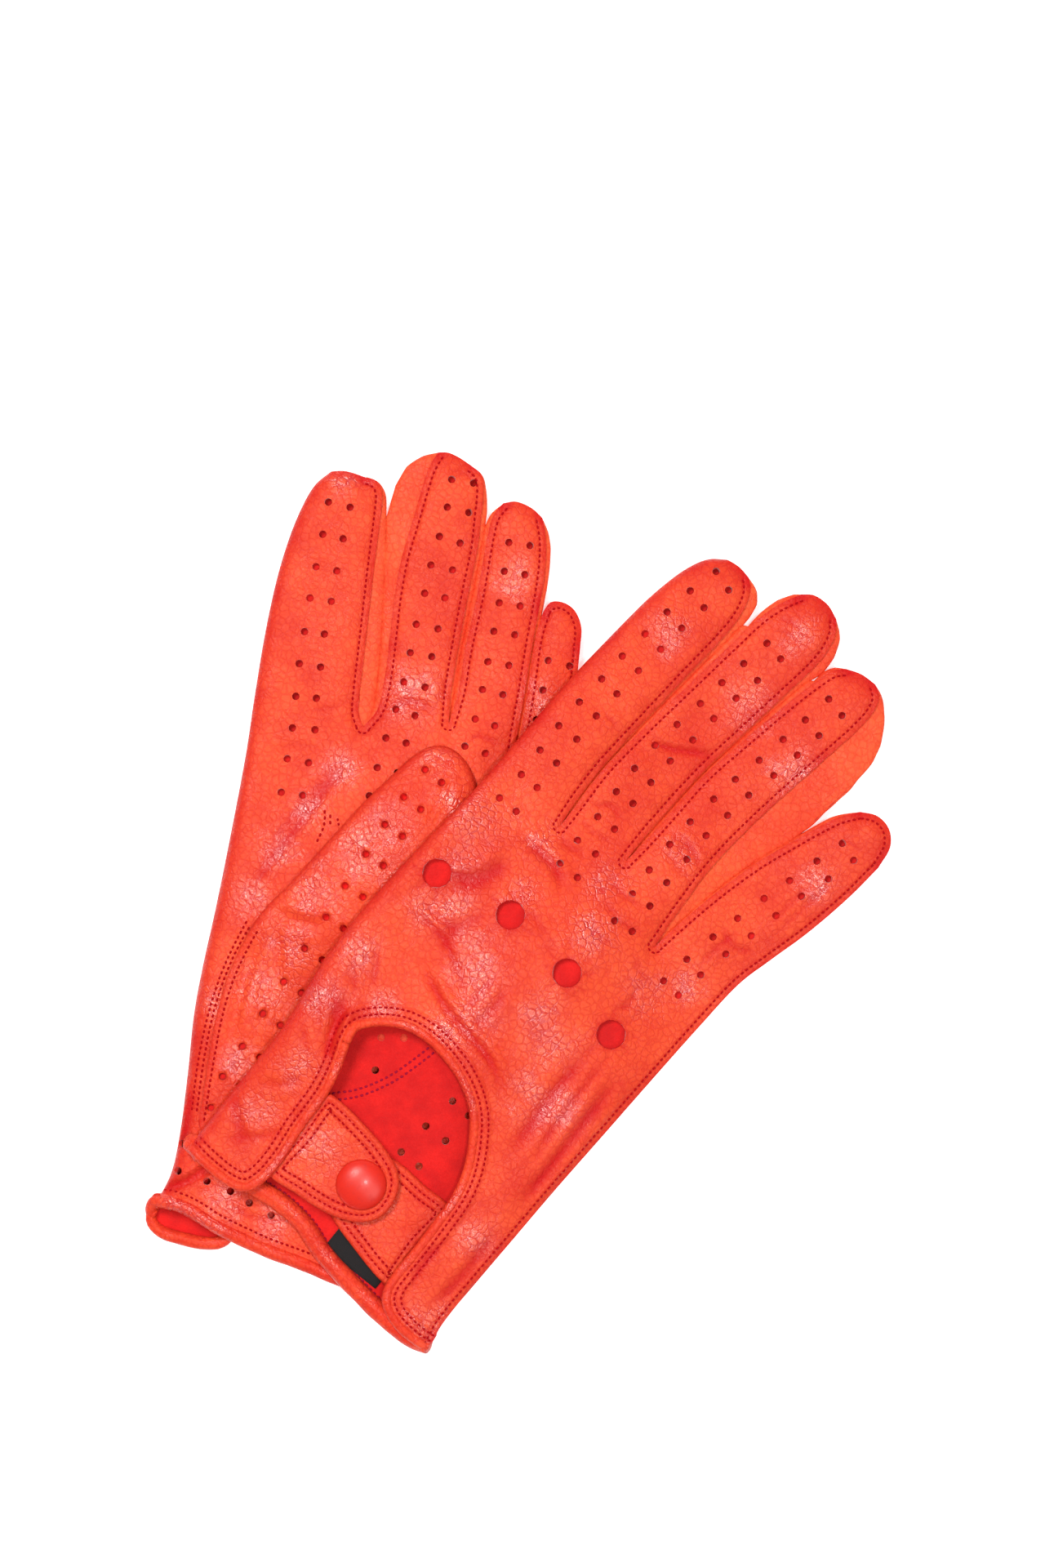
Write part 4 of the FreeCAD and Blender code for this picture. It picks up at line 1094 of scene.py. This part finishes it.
SNAP = (1.6, 16.6)
TAB = [(-19.6, 17), (-19.4, 4.3), (-9.4, 4.3), (-1.2, 5.2), (4.2, 6.9), (7.9, 9.2), (10.6, 12.9),
       (11.0, 17.6), (9.3, 22.4), (6.2, 25.4), (1.2, 27.4), (-7, 29.0), (-16.6, 29.9), (-19.5, 29.4)]
LOWER_TAB = [(24.2, 13), (24.0, 25.4), (14, 26.4), (5, 26.8), (-3.6, 24.6), (-7.6, 17), (-5.2, 9.4),
             (1.3, 5.1), (10.1, 2.5), (21.0, 0.3), (24.2, 0.6)]
TAB_BEND = (-20.2, -15.6)   # where the strap starts and ends its bend, across the hand
DOME_RADIUS = 6.7
CROWN, LOW_CROWN = 2.9, 1.45    # how high the cap stands, and how high on the glove that lies on its snap
SOCKET = [(0, -0.1), (2.2, -0.1), (2.4, -0.9), (2.9, -1.1), (4.6, -0.7), (5.1, -0.35), (5.0, 0.1)]
STUD = [(0, 1.1), (1.5, 1.05), (2.0, 0.7), (1.7, 0.45), (4.4, 0.35), (5.1, 0.0)]
EYELET = [(0, 0.2), (2.6, 0.1), (3.4, -0.35), (4.3, -0.2), (4.4, 0.1)]


def dome(crown):
    """The cap's profile: a low dome, turned in under its rim."""
    radii = (0, 0.8, 1.6, 2.4, 3.2, 4, 4.8, 5.4, 5.9, 6.3)
    top = [(r, crown * math.sqrt(1 - (r / DOME_RADIUS) ** 2) - 0.3 * crown / CROWN) for r in radii]
    return top + [(6.5, 0.12 * crown), (6.4, 0.05), (5.6, -0.1)]


def fastening(face):
    """The strap, its two tabs and the snap, on the back of a glove."""
    side, up = face.side, face.up
    hand, strap = f"{side}_hand", f"{side}_strap"
    upper, lower = Tab(side, strap, TAB, 0.6, up), Tab(side, hand, LOWER_TAB, 3.2, up)
    tab = upper.build(f"{side}_strap_leather", GRAIN)
    upper.bends = [(u, SNAP[1], upper.level) for u in TAB_BEND]
    attach(tab, upper, 0)
    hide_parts(f"{side}_strap_tab")
    fit(lower.build(f"{side}_strap_base_leather", GRAIN), hand, f"{side}_strap_base")
    for layer in (upper, lower):
        for row in TAB_ROWS:
            stitches(layer, layer.line(row), THREAD)
    cap = dome(CROWN if up > 0 else LOW_CROWN)
    for part, shape, body, profile, level, material in (
            ("cap", "dome", strap, cap, upper.level, CAP),
            ("socket", "ring", strap, SOCKET, upper.under, METAL),
            ("stud", "post", hand, STUD, lower.level, METAL),
            ("eyelet", "ring", hand, EYELET, lower.under, METAL)):
        piece = lathe(f"{side}_snap_{part}_{shape}", side, profile, level, up, material)
        fit(piece, body, f"{side}_snap_{part}")


def area(loop):
    x, y = loop.T
    return 0.5 * (np.dot(x, np.roll(y, -1)) - np.dot(y, np.roll(x, -1)))


RIPPLE_LENGTH = 2.6     # of the gathers in the elastic


def lining_strip(name, face, outline, thick, ripple, material, node):
    """A flat piece sewn to the inside of a face, such as a label or an elastic."""
    flat, faces = plan_mesh(outline, grid=1.2)
    bottom = face.height(flat) - face.up * (LEATHER + 0.12)
    wave = ripple * np.sin(flat[:, 0] * 2 * math.pi / RIPPLE_LENGTH)
    top = bottom - face.up * (thick + ripple + wave)
    if face.up > 0:
        top, bottom = bottom, top
    verts, faces = solid_sheet(flat, faces, top, bottom)
    fit(build(name, face.glove.place(verts), faces, [material]), face.rides, node)


def rectangle(middle, width, depth, step=1.2):
    """The outline of a rectangle, cut into pieces about step long."""
    signs = np.array([(-1, -1), (1, -1), (1, 1), (-1, 1)])
    corners = closed_path(signs * (width / 2, depth / 2) + middle)
    return np.vstack([even(corners[k:k + 2], step)[:-1] for k in range(4)])


# --- thumbs ---------------------------------------------------------------------------------------

THUMB = [(-31.4, 27), (-32.2, 36), (-32.5, 46), (-32.3, 57), (-31.2, 67), (-29.2, 75), (-27.2, 81),
         (-24.4, 86.4), (-20.0, 92.6), (-15.6, 99.6), (-10.4, 107.8), (-4.4, 117.2), (0.8, 124.4),
         (5.4, 130.4), (9.6, 134.0), (13.4, 134.9), (17.4, 133.6), (21.2, 130), (23.8, 124.6), (23.6, 117),
         (20, 109), (14.5, 99.6), (8, 88), (2, 75), (-3, 60), (-6, 46), (-8.6, 33), (-16, 26.6), (-25, 25.4)]
THUMB_PAIRS = [(11.9, 126.8), (7.8, 119), (4.3, 111.3), (0.8, 103), (-3, 94.1), (-6.5, 85.3), (-10.5, 76.4),
               (-14.3, 67), (-18.2, 57.9), (-21.9, 48.8), (-25.5, 40.5), (-27.0, 32.4)]
# Rows of stitches on the palm, where the thumb's piece is sewn to it and beside the thumb, then on the piece.
THUMB_SEAMS = [[(-34.4, 31), (-35.0, 45), (-34.4, 58), (-32.9, 68), (-30.8, 76), (-28.8, 82)],
               [(-33.1, 31), (-33.6, 45), (-33.2, 58), (-31.9, 67), (-29.9, 75), (-27.9, 80.6)],
               [(-14.2, 113.6), (-13.6, 109.4), (-14.8, 104.6)], [(-12.6, 112.8), (-12.0, 109.6)],
               [(-10.6, 112.0), (-9.8, 109.8)]]
THUMB_ROW = [(-30.8, 29), (-31.0, 45), (-30.8, 57), (-29.7, 66), (-27.8, 73.6), (-25.6, 80)]


class Thumb(Surface):
    """The left thumb and the strip below it, lying on the palm."""

    def __init__(self, palm):
        self.side, self.up, self.glove, self.rides = palm.side, 1, palm.glove, palm.rides
        self.palm = palm
        self.outline = loop_of(THUMB)

    def height(self, p):
        p = np.asarray(p, float)
        gap = nearest(p, closed_path(self.outline))[0]
        free = smooth((p[:, 1] + 0.25 * p[:, 0] - 62) / 22)
        puff = (0.25 + 2.7 * free) * rounded(gap, 0.9 + 4.3 * free)
        uneven = 0.45 * noise(p, 15, 31) + 0.26 * noise(p, 6.5, 33) + 0.10 * noise(p, 3.4, 35)
        worn = smooth(gap / 4) * uneven
        worn -= 0.35 * bell(gap, 2.9, 0.8) * smooth((p[:, 1] - 112) / 10)
        return self.palm.height(p) + 0.95 + puff + worn + creased(p, THUMB_CREASES)


def thumb_holes():
    """Centre, radius and number of corners of each hole in the left thumb."""
    pairs = np.array(THUMB_PAIRS)
    across = left_of(tangents(pairs)) * THUMB_PAIR_WIDTH / 2
    return [(pair + side * way, PERFORATION, 10) for pair, way in zip(pairs, across) for side in (1, -1)]


def hole_linings(thumb):
    """Small discs under the holes of the thumb, for its inside to show through them."""
    corners = np.column_stack((np.full(10, 10), np.arange(10), (np.arange(10) + 1) % 10))
    discs = []
    for spot, radius, _ in thumb_holes():
        plan = np.vstack((spot + (radius + 0.15) * circle(10), spot))
        level = max(thumb.height(spot[None])[0] - 2.0, thumb.palm.height(spot[None])[0] + 0.35)
        discs.append(solid_sheet(plan, corners, np.full(11, level), np.full(11, level - 0.3)))
    return joined(discs)


def left_thumb(palm):
    thumb = Thumb(palm)
    closed = closed_path(thumb.outline if area(thumb.outline) < 0 else thumb.outline[::-1])
    rows = rows_beside([closed], (0.12, 0.45, 1.0, 1.7, 2.6), 1.2)
    flat, faces = plan_mesh(thumb.outline, thumb_holes(), UPPER_GRID, rows)
    verts, faces = solid_sheet(flat, faces, thumb.height(flat), palm.height(flat) + 0.1)
    # Painted shade, darker along the thumb's rounded edge.
    dye = 0.5 * bell(nearest(flat, closed)[0], 0, 1.6)
    piece = build("left_thumb_leather", palm.glove.place(verts), faces, [GRAIN],
                  dye=np.tile(dye, 2), glaze=np.tile(glaze(flat, "thumb"), 2))
    bend_thumb(piece, palm, THUMB_NODES)
    verts, faces = hole_linings(thumb)
    lining = build("left_thumb_lining", palm.glove.place(verts), faces, [FLESH])
    bend_thumb(lining, palm)
    for path in THUMB_SEAMS:
        stitches(palm, spline(path), THREAD)
    stitches(thumb, spline(THUMB_ROW), THREAD)


THUMB_NODES = ("lower", "upper", "gusset")


def bend_thumb(piece, face, nodes=()):
    """Bakes a piece's transform, in place of nodes of the frame, which it hides. The piece is not bent
    between the hand and the thumb.
    """
    thumb = f"{face.side}_thumb"
    root = face.glove.plan(JOINTS[thumb]["pos_m"])
    toward = np.array([math.sin(THUMB_BEARING), math.cos(THUMB_BEARING)])
    bend(piece, face.glove, [np.append(root + toward * reach, 3.0) for reach in THUMB_BEND])
    for node in nodes:
        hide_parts(f"{thumb}_{node}")


def right_thumb(palm):
    """The right thumb, folded flat under the palm."""
    outline = loop_of([(u, v) for u, v in THUMB if v > 30] + [(-8, 34), (-20, 30), (-31, 33)])
    flat, faces = plan_mesh(outline, [(np.array(PALM_HOLES["right"][0]), 1.3, 12)], 1.6)
    gap = nearest(flat, closed_path(outline))[0]
    free = smooth((flat[:, 1] - 40) / 25)
    depth = (0.9 + 1.9 * free) * (0.35 + 0.65 * rounded(gap, 3.0))
    depth += 0.25 * noise(flat, 12, 37) * smooth(gap / 5)
    top = palm.height(flat) - 0.1
    verts, faces = solid_sheet(flat, faces, top, top - depth)
    piece = build("right_thumb_leather", palm.glove.place(verts), faces, [GRAIN])
    bend_thumb(piece, palm, THUMB_NODES)


# --- materials ------------------------------------------------------------------------------------


class Nodes:
    """A material's node tree, with short calls to add nodes."""

    def __init__(self, name):
        self.material = bpy.data.materials.new(name)
        self.material.use_nodes = True
        self.tree = self.material.node_tree
        self.shader = self.tree.nodes["Principled BSDF"]
        self.where = self.tree.nodes.new("ShaderNodeTexCoord").outputs["Object"]

    def add(self, kind, inputs=None, **values):
        node = self.tree.nodes.new(kind)
        for key, value in values.items():
            setattr(node, key, value)
        for key, value in (inputs or {}).items():
            self.put(node.inputs[key], value)
        return node

    def put(self, socket, value):
        if isinstance(value, bpy.types.NodeSocket):
            self.tree.links.new(value, socket)
        else:
            socket.default_value = value

    def noise(self, scale, detail=4.0, rough=0.55):
        inputs = {"Vector": self.where, "Scale": scale, "Detail": detail, "Roughness": rough}
        return self.add("ShaderNodeTexNoise", inputs).outputs["Fac"]

    def cracks(self, scale, bend_scale, amount, width):
        """0 along the edges of cells that are pushed about by noise, and 1 within them."""
        inputs = {"Vector": self.where, "Scale": bend_scale, "Detail": 3.0}
        push = self.add("ShaderNodeTexNoise", inputs).outputs["Color"]
        where = self.add("ShaderNodeVectorMath", {0: push, 1: (amount, amount, amount), 2: self.where},
                         operation="MULTIPLY_ADD").outputs["Vector"]
        cells = self.add("ShaderNodeTexVoronoi", {"Vector": where, "Scale": scale},
                         feature="DISTANCE_TO_EDGE")
        return self.ramp(cells.outputs["Distance"], 0.0, width)

    def wave(self, scale, distortion=0.0, direction="X"):
        node = self.add("ShaderNodeTexWave", {"Vector": self.where, "Scale": scale, "Distortion": distortion},
                        bands_direction=direction)
        return node.outputs["Fac"]

    def attribute(self, name):
        return self.add("ShaderNodeAttribute", attribute_name=name).outputs["Fac"]

    def ramp(self, value, low, high, out_low=0.0, out_high=1.0):
        inputs = {"Value": value, "From Min": low, "From Max": high, "To Min": out_low, "To Max": out_high}
        return self.add("ShaderNodeMapRange", inputs, interpolation_type="SMOOTHSTEP").outputs["Result"]

    def math(self, operation, *inputs):
        return self.add("ShaderNodeMath", dict(enumerate(inputs)), operation=operation).outputs["Value"]

    def mix(self, factor, a, b):
        node = self.add("ShaderNodeMix", data_type="RGBA")
        for key, value in (("Factor", factor), ("A", a), ("B", b)):
            self.put(node.inputs[key], value)
        return node.outputs["Result"]

    def bump(self, height, strength, distance, normal=None):
        node = self.add("ShaderNodeBump", {"Height": height, "Strength": strength, "Distance": distance})
        if normal is not None:
            self.put(node.inputs["Normal"], normal)
        return node.outputs["Normal"]

    def set(self, **values):
        for key, value in values.items():
            self.put(self.shader.inputs[key.replace("_", " ")], value)
        return self.material


def linear(colour):
    """A colour given as 0 to 255 display values."""
    shares = [value / 255 for value in colour]
    return (*(x / 12.92 if x <= 0.04045 else ((x + 0.055) / 1.055) ** 2.4 for x in shares), 1.0)


def glazed_leather(name, light, dark, rough=0.34, shift=0.0):
    """Thin glazed lambskin: a fine grain, small cracks where it is worn, uneven colour and uneven glaze, and
    painted shade along edges, seams and creases from a vertex attribute.
    """
    n, light, dark = Nodes(name), linear(light), linear(dark)
    cracks = n.cracks(560.0, 420.0, 0.0013, 0.2)
    fine = n.cracks(1500.0, 1100.0, 0.0005, 0.22)
    grain = n.noise(2600.0, 3.0, 0.6)
    uneven = n.ramp(n.noise(110.0 + shift, 4.0, 0.6), 0.35, 0.7)
    shine = n.math("MULTIPLY", n.attribute("glaze"), n.ramp(uneven, 0.0, 1.0, 0.55, 1.0))
    glazed = n.math("ADD", n.math("MULTIPLY", uneven, 0.04), shine)
    worn = n.math("MULTIPLY", n.math("SUBTRACT", 1.0, cracks), n.math("MULTIPLY_ADD", glazed, 1.4, 0.5))
    colour = n.mix(n.ramp(n.noise(60.0 + shift, 5.0), 0.3, 0.72), n.mix(0.5, light, dark), light)
    specks = n.ramp(n.noise(900.0), 0.35, 0.7)
    # Specks and worn cracks are the leather's own marks; the vertex attribute is painted shade along edges,
    # seams and creases, mixed in as darker colour.
    for value, share in ((specks, 0.16), (worn, 0.62), (n.attribute("dye"), 0.9)):
        colour = n.mix(n.math("MULTIPLY", value, share), colour, dark)
    height = n.math("MULTIPLY", cracks, n.math("MULTIPLY_ADD", glazed, 0.7, 0.5))
    for value, share in ((fine, 0.25), (grain, 0.3)):
        height = n.math("ADD", height, n.math("MULTIPLY", value, share))
    swell = n.bump(n.noise(240.0, 4.0, 0.6), 0.35, 0.0007, n.bump(height, 0.65, 0.0002))
    roughness = n.ramp(n.noise(330.0), 0.3, 0.75, rough - 0.04, rough + 0.10)
    return n.set(Base_Color=colour, Roughness=roughness, Normal=swell, Specular_IOR_Level=0.1,
                 Coat_Weight=glazed, Coat_Roughness=0.24, Coat_IOR=2.0, Coat_Normal=swell)


def suede(name, light, dark):
    """The flesh side of the leather: matt, napped and a little patchy."""
    n, light, dark = Nodes(name), linear(light), linear(dark)
    nap = n.noise(1900.0, 6.0, 0.7)
    colour = n.mix(n.ramp(n.noise(170.0), 0.32, 0.7), dark, light)
    colour = n.mix(n.math("MULTIPLY", n.ramp(nap, 0.4, 0.65), 0.3), colour, dark)
    return n.set(Base_Color=colour, Roughness=n.ramp(nap, 0.3, 0.7, 0.75, 0.95), Sheen_Weight=0.35,
                 Normal=n.bump(nap, 0.6, 0.0003), Sheen_Roughness=0.5, Specular_IOR_Level=0.25)


def thread(name, light, dark):
    """Twisted sewing thread."""
    n, light, dark = Nodes(name), linear(light), linear(dark)
    twist = n.wave(1500.0, 3.0)
    colour = n.mix(n.math("MULTIPLY_ADD", twist, 0.5, 0.5), dark, light)
    return n.set(Base_Color=colour, Roughness=n.ramp(n.noise(3200.0, 3.0), 0.3, 0.7, 0.5, 0.75),
                 Normal=n.bump(twist, 0.5, 0.0001), Specular_IOR_Level=0.08)


def painted(name, light, dark):
    """The enamel on the snap's cap, with fine scuffs."""
    n, light, dark = Nodes(name), linear(light), linear(dark)
    scuff = n.ramp(n.noise(700.0, 6.0, 0.7), 0.45, 0.75)
    colour = n.mix(n.math("MULTIPLY", scuff, 0.5), light, dark)
    return n.set(Base_Color=colour, Roughness=n.ramp(scuff, 0.0, 1.0, 0.36, 0.5), Specular_IOR_Level=0.4,
                 Normal=n.bump(n.noise(1500.0), 0.15, 0.0001), Coat_Weight=0.08, Coat_Roughness=0.12)


def plated(name):
    """Nickel-plated brass, lightly brushed."""
    n = Nodes(name)
    brushed = n.noise(1800.0, 5.0, 0.7)
    colour = n.mix(n.ramp(brushed, 0.3, 0.7), (0.62, 0.60, 0.56, 1), (0.80, 0.78, 0.74, 1))
    return n.set(Base_Color=colour, Metallic=1.0, Roughness=n.ramp(brushed, 0.3, 0.7, 0.22, 0.42),
                 Normal=n.bump(brushed, 0.1, 0.0001))


def woven(name, light, dark, scale=1700.0):
    """A narrow woven band or label."""
    n, light, dark = Nodes(name), linear(light), linear(dark)
    weave = n.math("MULTIPLY", n.wave(scale), n.wave(scale, direction="Y"))
    colour = n.mix(n.math("ADD", weave, n.math("MULTIPLY", n.noise(600.0), 0.3)), dark, light)
    return n.set(Base_Color=colour, Roughness=n.ramp(weave, 0.0, 1.0, 0.85, 0.6),
                 Normal=n.bump(weave, 0.5, 0.0002))


GRAIN = glazed_leather("red_leather", (243, 88, 50), (200, 18, 26))
EDGE = suede("cut_edge", (232, 44, 22), (196, 22, 16))
FLESH = suede("flesh_side", (230, 24, 20), (206, 14, 16))
SIDEWALL = glazed_leather("fourchette_leather", (245, 98, 56), (214, 32, 26), 0.38, 7.0)
BINDING = glazed_leather("binding_leather", (243, 78, 46), (200, 22, 26), shift=13.0)
THREAD = thread("crimson_thread", (186, 6, 20), (150, 4, 14))
PURPLE = thread("purple_thread", (178, 26, 62), (140, 14, 46))
CAP = painted("cap_enamel", (222, 40, 24), (198, 20, 18))
METAL = plated("snap_plating")
LABEL = woven("label_cloth", (38, 34, 36), (14, 12, 14))
ELASTIC = woven("elastic_cloth", (226, 60, 56), (170, 24, 34), 900.0)

# --- making the gloves ----------------------------------------------------------------------------

# The thumb's seam on the inside of the palm, which shows through the opening.
INNER_SEAM = [(-18.4, 29), (-13.6, 34.3), (-9.3, 42.4), (-7.4, 48.5), (-5.7, 56), (-5.2, 62)]
HEM_ROLL = {"right": 2.5, "left": 2.0}      # radius of the rolled hem of the palm
CORNER_RADIUS = 1.55

FACES = {(side, up): Face(side, up) for side in ("right", "left") for up in (1, -1)}


def sew_face(face):
    """The stitches along a face's seams, and round between its fingers."""
    for path in face.kinds["seam"] + face.kinds["side"] + face.kinds["tip"][3:]:
        stitches(face, beside(path, SEAM_INSET), THREAD)
    turn = np.linspace(math.pi, 2 * math.pi, 9)
    arc = 1.9 * np.column_stack((np.cos(turn), np.sin(turn)))
    for crotch in face.crotches:
        stitches(face, crotch + arc, THREAD)


def bind_opening(back):
    """The rolled binding of the back's wrist and opening, and its two rows of stitches."""
    side = back.side
    for number, path in enumerate(back.wrist):
        radius = ROLL if side == "right" else np.interp(path[:, 1], (-2, 3), (1.7, ROLL))
        piece = edge_roll(f"{side}_opening_binding_{number}", back, path, BINDING, radius)
        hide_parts(f"{side}_window_binding")
        if number == 0:
            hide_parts(f"{side}_wrist_hem_back")
        for row in BINDING_ROWS:
            stitches(back, beside(path, row), THREAD)


def hem_corner(side, palm, back):
    """The fold of the hem where the palm's wrist meets the back's."""
    ends = [np.append(path[-4], 0) for path in (palm.wrist[0], back.wrist[1])]
    for end, face in zip(ends, (palm, back)):
        end[2] = face.height(end[None, :2])[0] - face.up * 1.1
    corner = np.append(palm.wrist[0][-1], (ends[0][2] + ends[1][2]) / 2) + (-0.5, 0, 0)
    path = [ends[0] + (1.5, -0.3, 0), ends[0], corner, ends[1], ends[1] + (1.2, -0.6, 0)]
    path = spline(np.array(path), 0.5)
    path[:, 2] = np.maximum(path[:, 2], 1.7)
    tube(f"{side}_hem_corner", palm, path, CORNER_RADIUS, BINDING)


def finish_wrist(side, palm, back):
    """Everything at the wrist of one glove."""
    bind_opening(back)
    edge, roll = palm.wrist[0], HEM_ROLL[side]
    hem = edge_roll(f"{side}_palm_hem", palm, beside(edge, roll - 1.6), BINDING, roll, roll - 0.8)
    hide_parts(f"{side}_wrist_hem_palm")
    stitches(palm, beside(edge, HEM_ROW), PURPLE, inner=True)
    stitches(palm, beside(edge, HEM_ROW), THREAD)
    for shift in (-0.9, 0.9):
        stitches(palm, beside(spline(INNER_SEAM), shift), PURPLE, inner=True)
    hem_corner(side, palm, back)
    fastening(back)
    lining_strip(f"{side}_label_cloth", palm, rectangle((12.8, 3.4), 17, 11.6), 0.25, 0.0, LABEL,
                 f"{side}_label")
    lining_strip(f"{side}_elastic_band", palm, rectangle((0.5, 18.5), 66, 6), 0.4, 0.25, ELASTIC,
                 f"{side}_wrist_elastic")


for (side, up), face in FACES.items():
    leather_face(face, [GRAIN, FLESH, EDGE], UPPER_GRID if up > 0 else LOWER_GRID)
    sew_face(face)
for side in ("right", "left"):
    upper, lower = FACES[(side, 1)], FACES[(side, -1)]
    fourchettes(upper, lower, [SIDEWALL, FLESH, EDGE])
    finish_wrist(side, *((lower, upper) if upper.kind == "back" else (upper, lower)))
left_thumb(FACES[("left", 1)])
right_thumb(FACES[("right", -1)])
sew()

# --- table, light and camera ----------------------------------------------------------------------


def tabletop():
    """A pale matt table, curving up far behind."""
    rows = [(-3.0, 0.0), (-1.0, 0.0), (0.0, 0.0), (1.0, 0.0), (2.2, 0.0), (2.7, 0.12), (3.0, 0.5), (3.1, 1.2)]
    columns = (-3.0, -1.0, 0.0, 1.0, 3.0)
    verts = np.array([(x, y, z - 0.0003) for y, z in rows for x in columns])
    n = Nodes("paper")
    fibre = n.noise(260.0, 5.0, 0.6)
    colour = n.mix(n.ramp(fibre, 0.3, 0.7), (0.86, 0.86, 0.87, 1), (0.92, 0.92, 0.925, 1))
    material = n.set(Base_Color=colour, Roughness=n.ramp(fibre, 0.3, 0.7, 0.8, 0.95), Specular_IOR_Level=0.2,
                     Normal=n.bump(fibre, 0.1, 0.0002), Emission_Color=(1, 1, 1, 1), Emission_Strength=0.55)
    return build("tabletop", verts, grid_faces(len(rows), len(columns)), [material])


def placed(name, data, place):
    """An object for a light or a camera, linked into the scene."""
    thing = bpy.data.objects.new(name, data)
    thing.location = place
    bpy.context.collection.objects.link(thing)
    return thing


def softbox(name, place, size, power, colour=(1, 1, 1)):
    """A square area light that points at the middle of the gloves."""
    light = bpy.data.lights.new(name, "AREA")
    light.shape = "RECTANGLE"
    light.size = light.size_y = size
    light.energy = power
    light.color = colour
    placed(name, light, place).rotation_euler = (-Vector(place)).to_track_quat("-Z", "Y").to_euler()


tabletop()
softbox("key", (-0.52, 0.56, 1.52), 0.5, 20, (1.0, 0.97, 0.94))
softbox("fill", (0.75, -0.75, 1.4), 0.9, 8, (1.0, 0.98, 0.96))
softbox("flash", (0.16, -0.12, 1.75), 0.16, 9.5)
scene = bpy.context.scene
scene.world = bpy.data.worlds.new("studio")
scene.world.use_nodes = True
background = scene.world.node_tree.nodes["Background"].inputs
background["Color"].default_value = (1.0, 0.99, 0.985, 1)
background["Strength"].default_value = 0.20
scene.view_settings.view_transform = "Standard"

# The camera looks straight down, and frames VIEW_HEIGHT at FOCUS_LEVEL.
SENSOR, CAMERA_HEIGHT, VIEW_HEIGHT, FOCUS_LEVEL = 36.0, 1.6, 0.4032, 0.008
camera = bpy.data.cameras.new("camera")
camera.sensor_fit = "VERTICAL"
camera.sensor_height = SENSOR
camera.lens = SENSOR * (CAMERA_HEIGHT - FOCUS_LEVEL) / VIEW_HEIGHT
camera.clip_end = 20
scene.camera = placed("camera", camera, (-0.00083, 0.02956, CAMERA_HEIGHT))

bpy.context.view_layer.update()
